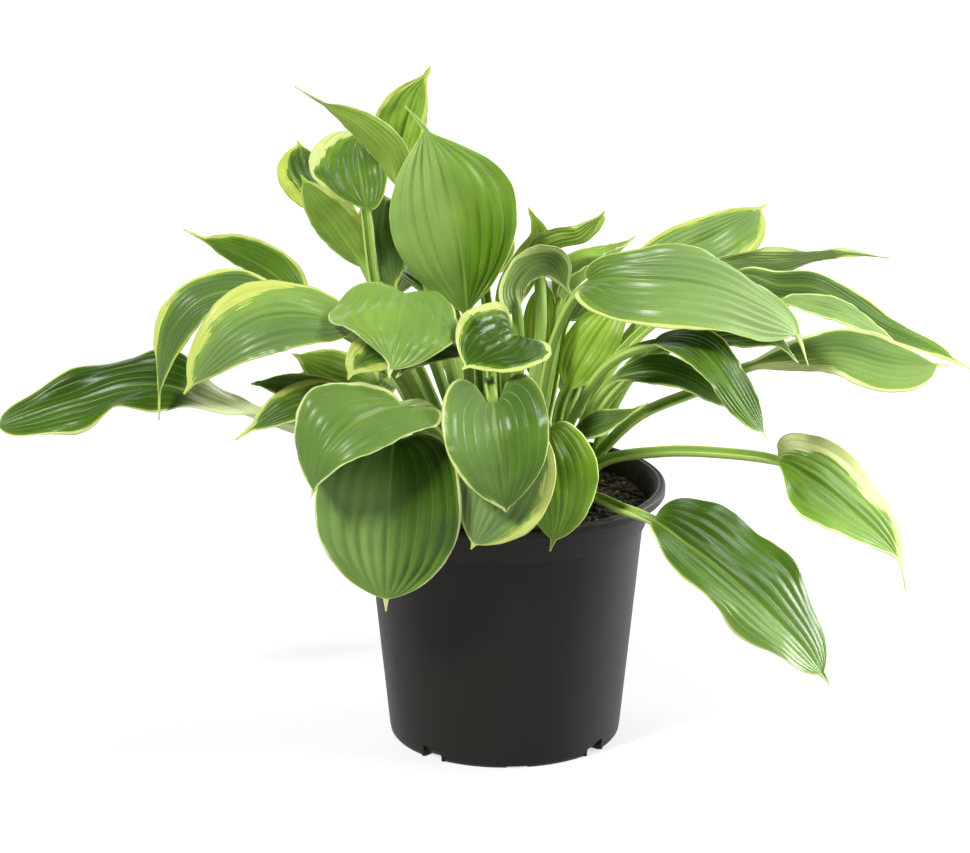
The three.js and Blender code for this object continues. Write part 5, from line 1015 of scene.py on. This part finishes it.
def leaf_material():
    m = Nodes("hosta_leaf")
    across, along, rim, vein, pitch = m.read("across along rim vein pitch")
    edge, under, tone, cream, seed, grey = m.read("edge under tone cream seed grey")
    risen, dull, pale_base = m.read("risen dull pale")

    # How far a point is from the nearest vein, and from the midrib, in mm.
    to_vein = m.times(m.math("PINGPONG", vein, 0.5), pitch)
    to_rib = m.times(vein, pitch)
    on_blade = m.step(along, -0.03, 0.07)
    fading = m.step(along, 0.75, 1.0, 1.0, 0.2)
    vein_line = m.times(m.times(m.step(to_vein, 0.55, 0.0), on_blade), fading)
    rib_line = m.times(m.step(to_rib, 1.6, 0.5), m.step(along, 0.9, 0.2))

    # Streaks that follow the veins, slow changes along the leaf, and fine specks.
    streaks = m.noise(m.vector(m.times(across, 26.0), m.times(along, 2.6), seed), 1.0, 3.0, 0.6)
    slow = m.noise(m.vector(m.times(across, 1.3), m.times(along, 3.6), m.plus(seed, 9.0)), 1.0, 2.0, 0.5)
    specks = m.noise(m.vector(m.times(across, 60.0), m.times(along, 90.0), seed), 1.0, 2.0, 0.6)

    # The upper side's green, from deep to fresh, which also paints the light and shade set in each look's
    # tone, with a grey bloom that is also a painted sheen, and slightly paler veins.
    tone_and_shade_here = m.plus(tone, m.times(m.minus(slow, 0.5), 0.34))
    tone_and_shade_here = m.plus(tone_and_shade_here, m.times(m.minus(streaks, 0.5), 0.22), clamp=True)
    ramp = m.add("ShaderNodeValToRGB")
    m.set(ramp.inputs[0], tone_and_shade_here)
    stops = ramp.color_ramp.elements
    stops[0].position, stops[0].color = 0.0, (0.016, 0.044, 0.003, 1)
    stops[1].position, stops[1].color = 1.0, (0.330, 0.500, 0.055, 1)
    stops.new(0.3).color = (0.046, 0.108, 0.006, 1)
    stops.new(0.55).color = (0.098, 0.200, 0.010, 1)
    stops.new(0.8).color = (0.190, 0.330, 0.026, 1)
    green = m.blend(m.times(grey, 0.6), ramp.outputs[0], (0.300, 0.400, 0.210))
    green = m.blend(m.times(vein_line, 0.16), green, (0.260, 0.400, 0.100))
    green = m.blend(m.times(rib_line, 0.4), green, (0.250, 0.380, 0.060))

    # The pale band on the margin runs in along the veins, with a lighter green between it and the rest.
    wander = m.scaled(slow, 2.4, -0.3)
    reach = m.times(edge, m.times(wander, m.scaled(streaks, 1.5, 0.25)))
    band = m.step(m.minus(reach, rim), 0.0, 0.5)
    feather = m.step(m.minus(m.times(reach, 1.7), rim), -1.5, 1.5)
    pale = m.blend(cream, (0.450, 0.520, 0.090), (0.700, 0.740, 0.480))
    pale = m.blend(m.times(m.step(specks, 0.35, 0.65), 0.18), pale, (0.46, 0.62, 0.10))
    jade = m.blend(0.5, green, (0.200, 0.350, 0.030))
    face = m.blend(m.times(feather, 0.75), green, jade)
    face = m.blend(m.times(band, on_blade), face, pale)

    # The under side is greyer and duller, with raised pale veins.
    back = m.blend(dull, m.blend(0.4, face, (0.250, 0.380, 0.050)), (0.190, 0.270, 0.110))
    back = m.blend(m.times(vein_line, 0.35), back, (0.300, 0.400, 0.150))
    back = m.blend(m.times(band, 0.6), back, pale)

    # The stalk is pale green with fine lines along it, and paler at its foot and edges.
    lines = m.noise(m.vector(m.times(across, 9.0), m.times(risen, 0.012), seed), 1.0, 3.0, 0.6)
    stalk = m.blend(lines, (0.100, 0.230, 0.010), (0.240, 0.410, 0.030))
    stalk = m.blend(m.step(rim, 1.2, 0.3), stalk, (0.360, 0.500, 0.080))
    stalk = m.blend(m.step(risen, 50.0, 14.0), stalk, (0.300, 0.420, 0.060))
    stalk = m.blend(m.times(pale_base, 3.0), stalk, (0.640, 0.700, 0.380))
    colour = m.blend(under, face, back)
    colour = m.blend(m.step(m.minus(along, pale_base), 0.0, -0.15), colour, stalk)

    # The veins are sunk on the upper side and stand out on the under side.
    rough = m.scaled(under, 0.2, m.scaled(specks, 0.14, 0.21))
    relief = m.times(m.times(vein_line, m.scaled(under, 2.0, -1.0)), 0.5)
    relief = m.plus(relief, m.times(specks, 0.16))
    relief = m.plus(relief, m.times(streaks, 0.25))
    shader = m.surface(colour, rough, (relief, 0.00032), Specular_IOR_Level=0.17)
    through = m.add("ShaderNodeBsdfTranslucent")
    m.set(through.inputs["Color"], m.blend(0.35, colour, (0.40, 0.62, 0.06)))
    both = m.add("ShaderNodeMixShader")
    for socket, value in zip(both.inputs, (0.16, shader.outputs[0], through.outputs[0])):
        m.set(socket, value)
    return m.finish(both)


def pot_material():
    m = Nodes("pot_plastic")
    where = m.add("ShaderNodeTexCoord").outputs["Object"]
    cloud = m.noise(where, 14.0, 4.0, 0.6)
    grain = m.noise(where, 900.0, 2.0, 0.6)
    split = m.add("ShaderNodeSeparateXYZ")
    m.set(split.inputs[0], where)
    x, y, z = split.outputs
    drawn = m.noise(m.vector(m.times(x, 60.0), m.times(y, 60.0), m.times(z, 3.0)), 1.0, 3.0, 0.6)
    colour = m.blend(cloud, (0.0056, 0.0046, 0.0030), (0.0084, 0.0072, 0.0052))
    colour = m.blend(m.step(drawn, 0.60, 0.80, 0.0, 0.35), colour, (0.020, 0.019, 0.017))
    rough = m.scaled(cloud, 0.14, m.scaled(drawn, 0.10, 0.36))
    height = m.plus(m.times(grain, 0.4), m.times(drawn, 0.6))
    return m.finish(m.surface(colour, rough, (height, 0.00008), Specular_IOR_Level=0.2))


def soil_material(name, dark, light):
    m = Nodes(name)
    where = m.add("ShaderNodeTexCoord").outputs["Object"]
    coarse = m.noise(where, 160.0, 5.0, 0.7)
    fine = m.noise(where, 900.0, 3.0, 0.7)
    colour = m.blend(m.step(coarse, 0.35, 0.68), dark, light)
    colour = m.blend(m.step(fine, 0.62, 0.72, 0.0, 0.6), colour, (0.060, 0.036, 0.020))
    rough = m.scaled(fine, 0.3, 0.6)
    return m.finish(m.surface(colour, rough, (m.plus(coarse, fine), 0.0006), Specular_IOR_Level=0.3))


def floor_material():
    m = Nodes("floor_white")
    shader = m.surface(
        (0.24, 0.24, 0.24), 0.9,
        Specular_IOR_Level=0.0, Emission_Color=(1.0, 1.0, 1.0), Emission_Strength=0.64,
    )
    return m.finish(shader)


LEAF = leaf_material()
POT = pot_material()
SOIL = soil_material("potting_soil", (0.0070, 0.0045, 0.0030), (0.0300, 0.0180, 0.0110))
BARK = soil_material("bark_bits", (0.0120, 0.0070, 0.0040), (0.0600, 0.0330, 0.0170))
PERLITE = soil_material("pale_bits", (0.130, 0.110, 0.085), (0.360, 0.330, 0.280))


def wall_radius(height):
    return mix(WALL_FOOT_RADIUS, WALL_TOP_RADIUS, (height - FOOT_ROUND) / (COLLAR_FOOT - FOOT_ROUND))


def collar_radius(height):
    return mix(COLLAR_FOOT_RADIUS, COLLAR_RADIUS, (height - COLLAR_FOOT) / (LIP_FOOT - COLLAR_FOOT))


def rounded(profile, steps=5):
    """A profile's points, given as radius, height and, where it has one, that corner's rounding in mm."""
    corners = [np.array(corner[:2], float) for corner in profile]
    points = []
    for i, here in enumerate(corners):
        if len(profile[i]) == 2:
            points.append(here)
            continue
        radius = profile[i][2]
        before, after = unit(corners[i - 1] - here), unit(corners[i + 1] - here)
        a, b = here + before * radius, here + after * radius
        for k in range(steps + 1):
            t = k / steps
            points.append((1 - t) ** 2 * a + 2 * t * (1 - t) * here + t**2 * b)
    return np.array(points)


def turned(profile, sides):
    """Points and faces of a closed solid turned about Z from a profile that starts and ends on the axis."""
    angles = np.linspace(0, 2 * np.pi, sides, endpoint=False)
    ring = profile[1:-1]
    points = np.stack([
        ring[:, 0][:, None] * np.cos(angles), ring[:, 0][:, None] * np.sin(angles),
        np.broadcast_to(ring[:, 1][:, None], (len(ring), sides)),
    ], -1).reshape(-1, 3)
    points = np.concatenate([points, [[0, 0, profile[0][1]], [0, 0, profile[-1][1]]]])
    index = np.arange(len(ring) * sides).reshape(len(ring), sides)
    following = np.roll(index, -1, 1)
    faces = np.stack([index[:-1], following[:-1], following[1:], index[1:]], -1).reshape(-1, 4).tolist()
    low, high = len(points) - 2, len(points) - 1
    faces += [[low, b, a] for a, b in zip(index[0], following[0])]
    faces += [[high, a, b] for a, b in zip(index[-1], following[-1])]
    return points, faces


def blocks(notch, width, heights, depths):
    """The corners of a block at each place of a notch, from and to its heights and depths."""
    corners = np.array([[x, y, z] for z in heights for y in depths for x in (-width / 2, width / 2)], float)
    for i in range(notch["count"]):
        a = math.radians(notch["turn"] + 360 * i / notch["count"])
        yield corners @ np.array([[math.cos(a), math.sin(a), 0], [-math.sin(a), math.cos(a), 0], [0, 0, 1]])


def build_blocks(name, solids):
    box = [[0, 2, 3, 1], [4, 5, 7, 6], [0, 1, 5, 4], [2, 6, 7, 3], [0, 4, 6, 2], [1, 3, 7, 5]]
    faces = [[v + 8 * k for v in face] for k in range(len(solids)) for face in box]
    return build_mesh(name, np.concatenate(solids), faces)


def fine_pot():
    profile = [
        [0, 0], [60, 0], [FOOT_RADIUS, 0], [FOOT_RADIUS + 1.7, 2, 0.8], [WALL_FOOT_RADIUS, FOOT_ROUND, 1.2],
        [wall_radius(WALL_MIDDLE), WALL_MIDDLE],
        [WALL_TOP_RADIUS, COLLAR_FOOT, 1.0], [COLLAR_FOOT_RADIUS, COLLAR_FOOT, 0.5],
        [COLLAR_RADIUS, LIP_FOOT, 1.4], [LIP_RADIUS - 0.4, LIP_FOOT, 0.3],
        [LIP_RADIUS, LIP_FOOT + 0.8], [LIP_RADIUS, POT_HEIGHT - 1.2, 0.6], [LIP_RADIUS - 1.2, POT_HEIGHT],
        [LIP_GROOVE + 0.7, POT_HEIGHT], [LIP_GROOVE + 0.2, POT_HEIGHT - 0.6],
        [LIP_GROOVE - 0.2, POT_HEIGHT - 0.6], [LIP_GROOVE - 0.7, POT_HEIGHT],
        [MOUTH_RADIUS + 1, POT_HEIGHT, 0.8], [MOUTH_RADIUS - 1, POT_HEIGHT - 2.5, 0.8],
        [collar_radius(LIP_FOOT - 2) - WALL, LIP_FOOT - 2],
        [collar_radius(COLLAR_FOOT + WALL) - WALL, COLLAR_FOOT + WALL],
        [WALL_TOP_RADIUS - WALL, COLLAR_FOOT], [wall_radius(WALL_MIDDLE) - WALL, WALL_MIDDLE],
        [wall_radius(FOOT_ROUND) - WALL, WALL + 4],
        [WALL_FOOT_RADIUS - WALL - 3, WALL], [0, WALL],
    ]
    points, faces = turned(rounded(profile), POT_SIDES)
    pot = build_mesh("fine_pot", points, faces)

    # The floor is thicker over the drain notches, so that they don't go through it.
    front = -(WALL_FOOT_RADIUS + NOTCH_CLEAR)
    cuts = []
    for notch in (DRAIN_NOTCH, GATE_NOTCH):
        cuts += blocks(notch, notch["width"], (-1, notch["height"]), (front, front + notch["depth"]))
    width, height, depth = (DRAIN_NOTCH[key] + WALL for key in ("width", "height", "depth"))
    depths = (-(WALL_FOOT_RADIUS - COVER_INSET), front + depth)
    covers = blocks(DRAIN_NOTCH, width + WALL, (COVER_FOOT, height), depths)
    others = build_blocks("cover", list(covers)), build_blocks("cutter", cuts)
    for operation, other in zip(("UNION", "DIFFERENCE"), others):
        modifier = pot.modifiers.new(operation.lower(), "BOOLEAN")
        modifier.operation, modifier.object, modifier.solver = operation, other, "EXACT"
    depsgraph = bpy.context.evaluated_depsgraph_get()
    made = bpy.data.meshes.new_from_object(pot.evaluated_get(depsgraph))
    pot.modifiers.clear()
    pot.data = made
    for other in others:
        bpy.data.objects.remove(other)
    made.shade_smooth()
    made.set_sharp_from_angle(angle=math.radians(POT_SHARP_ANGLE))
    made.materials.clear()
    made.materials.append(POT)
    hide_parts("pot")
    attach(pot, "root")


def soil_height(x, y):
    inner = collar_radius(SOIL_TOP - 2) - WALL - SEAT_GAP
    share = np.clip(1 - np.hypot(x, y) / inner, 0, 1)
    bump = SOIL_ROUGHNESS * (np.sin(x * 0.11 + 1.3) * np.cos(y * 0.13) + np.sin(x * 0.07 - y * 0.09))
    level = SOIL_TOP + (SOIL_MOUND * share + bump) * share - SOIL_SINKS_AT_WALL * (1 - share) ** 6
    lumps = sum(
        height * value_noise(x / size, y / size, seed) ** pointed
        for height, size, pointed, seed in SOIL_LUMPS
    )
    return level + lumps - SOIL_LUMP_LEVEL


def fine_soil():
    wall = WALL + SEAT_GAP
    inner = collar_radius(SOIL_TOP - 2) - wall
    below = np.array([
        [0, wall], [WALL_FOOT_RADIUS - wall - 3, wall], [wall_radius(FOOT_ROUND) - wall, wall + 4],
        [wall_radius(WALL_MIDDLE) - wall, WALL_MIDDLE], [WALL_TOP_RADIUS - wall, COLLAR_FOOT],
        [collar_radius(COLLAR_FOOT + WALL) - wall, COLLAR_FOOT + WALL],
    ])
    top = np.stack([np.linspace(inner, 0, SOIL_RINGS), np.full(SOIL_RINGS, float(SOIL_TOP))], 1)
    points, faces = turned(np.concatenate([below, top]), SOIL_SIDES)
    start = (len(below) - 1) * SOIL_SIDES
    points[start:, 2] = soil_height(points[start:, 0], points[start:, 1])
    points[-2] = [0, 0, wall]
    soil = build_mesh("fine_soil", points, faces, material=SOIL)
    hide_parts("soil")
    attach(soil, "root")


def crumbs(name, count, smallest, largest, flat, material, seed):
    """Loose bits lying on the soil: small lumps, each an icosahedron pulled out of shape."""
    rng = np.random.default_rng(seed)
    far = (1 + 5**0.5) / 2
    corners = unit(np.array([
        [-1, far, 0], [1, far, 0], [-1, -far, 0], [1, -far, 0],
        [0, -1, far], [0, 1, far], [0, -1, -far], [0, 1, -far],
        [far, 0, -1], [far, 0, 1], [-far, 0, -1], [-far, 0, 1],
    ], float))
    lump = np.array([
        [0, 11, 5], [0, 5, 1], [0, 1, 7], [0, 7, 10], [0, 10, 11],
        [1, 5, 9], [5, 11, 4], [11, 10, 2], [10, 7, 6], [7, 1, 8],
        [3, 9, 4], [3, 4, 2], [3, 2, 6], [3, 6, 8], [3, 8, 9],
        [4, 9, 5], [2, 4, 11], [6, 2, 10], [8, 6, 7], [9, 8, 1],
    ])
    points, faces = [], []
    for i in range(count):
        radius = BITS_REACH * math.sqrt(rng.uniform(0.02, 1))
        angle = rng.uniform(0, 2 * np.pi)
        size = mix(smallest, largest, rng.uniform() ** 2.5)
        shape = corners * rng.uniform(0.7, 1.3, (12, 1)) * [size * rng.uniform(1, 2.2), size, size * flat]
        tilt = Euler((rng.uniform(-0.5, 0.5), rng.uniform(-0.5, 0.5), rng.uniform(0, 6.3)))
        x, y = radius * math.cos(angle), radius * math.sin(angle)
        z = float(soil_height(np.array([x]), np.array([y]))[0])
        shape = shape @ np.array(tilt.to_matrix()).T + [x, y, z + size * 0.2]
        beyond = np.hypot(shape[:, 0], shape[:, 1]).max() - BITS_LIMIT
        if beyond > 0:
            shape[:, :2] *= (radius - beyond) / radius
        points.append(shape)
        faces.append(lump + len(corners) * i)
    ob = build_mesh(name, np.concatenate(points), np.concatenate(faces).tolist(), material=material)
    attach(ob, "root")


fine_pot()
fine_soil()
crumbs("bark_bits", 1500, 0.7, 3.2, 0.5, BARK, 11)
crumbs("soil_crumbs", 2400, 0.6, 2.2, 0.8, SOIL, 12)
crumbs("pale_bits", 70, 0.4, 1.3, 0.8, PERLITE, 13)
for number, (name, own) in enumerate(LEAVES.items()):
    fine_leaf(name, {**PLAIN_LEAF, **PLAIN_LOOK, **own, **LOOKS.get(name, {})}, number)

# The floor, the light and the camera.
floor_corners = np.array([[-1, -1, 0], [1, -1, 0], [1, 1, 0], [-1, 1, 0]]) * FLOOR_REACH
floor = build_mesh("floor", floor_corners, [[0, 1, 2, 3]], material=floor_material())

scene = bpy.context.scene
world = bpy.data.worlds.new("studio")
scene.world = world
world.use_nodes = True
world.node_tree.nodes["Background"].inputs[0].default_value = (1, 1, 1, 1)
world.node_tree.nodes["Background"].inputs[1].default_value = SKY_STRENGTH


def light(name, kind, place, target, energy, **settings):
    data = bpy.data.lights.new(name, kind)
    data.energy = energy
    for key, value in settings.items():
        setattr(data, key, value)
    ob = bpy.data.objects.new(name, data)
    scene.collection.objects.link(ob)
    ob.rotation_euler = (Vector(target) - Vector(place)).to_track_quat("-Z", "Y").to_euler()
    return ob


def sun(name, place, strength, angle):
    light(name, "SUN", place, (0, 0, 0), strength, angle=math.radians(angle))


def lamp(name, place, target, size, power):
    ob = light(name, "AREA", place, target, power, shape="RECTANGLE", size=size[0], size_y=size[1])
    ob.location = place


sun("key", (-0.6, -0.6, 0.85), 4.6, 12)
sun("far_key", (0.85, -0.15, 0.75), 2.6, 26)
lamp("backdrop", (0, 2.6, 1.3), (0, 0, 0.6), (4.4, 2.2), 70)
lamp("right", (1.5, 0.45, 0.30), (0, 0, 0.08), (0.7, 0.9), 60)

camera_data = bpy.data.cameras.new("camera")
camera_data.sensor_width = FILM_WIDTH
camera_data.lens = FILM_WIDTH * FOCAL_PIXELS / PICTURE_WIDTH
camera_data.clip_start = 0.05
camera_data.clip_end = 60
camera = bpy.data.objects.new("camera", camera_data)
camera.location = EYE * MM
camera.rotation_euler = (math.pi / 2 - PITCH, 0, 0)
scene.collection.objects.link(camera)
bpy.context.scene.camera = camera

scene.view_settings.view_transform = "Standard"
scene.view_settings.look = "None"
scene.cycles.use_denoising = True
scene.cycles.max_bounces = 8
scene.cycles.diffuse_bounces = 5
scene.cycles.glossy_bounces = 3
scene.cycles.transmission_bounces = 6


def corners(box):
    return [[float(v) for v in corner] for corner in box]
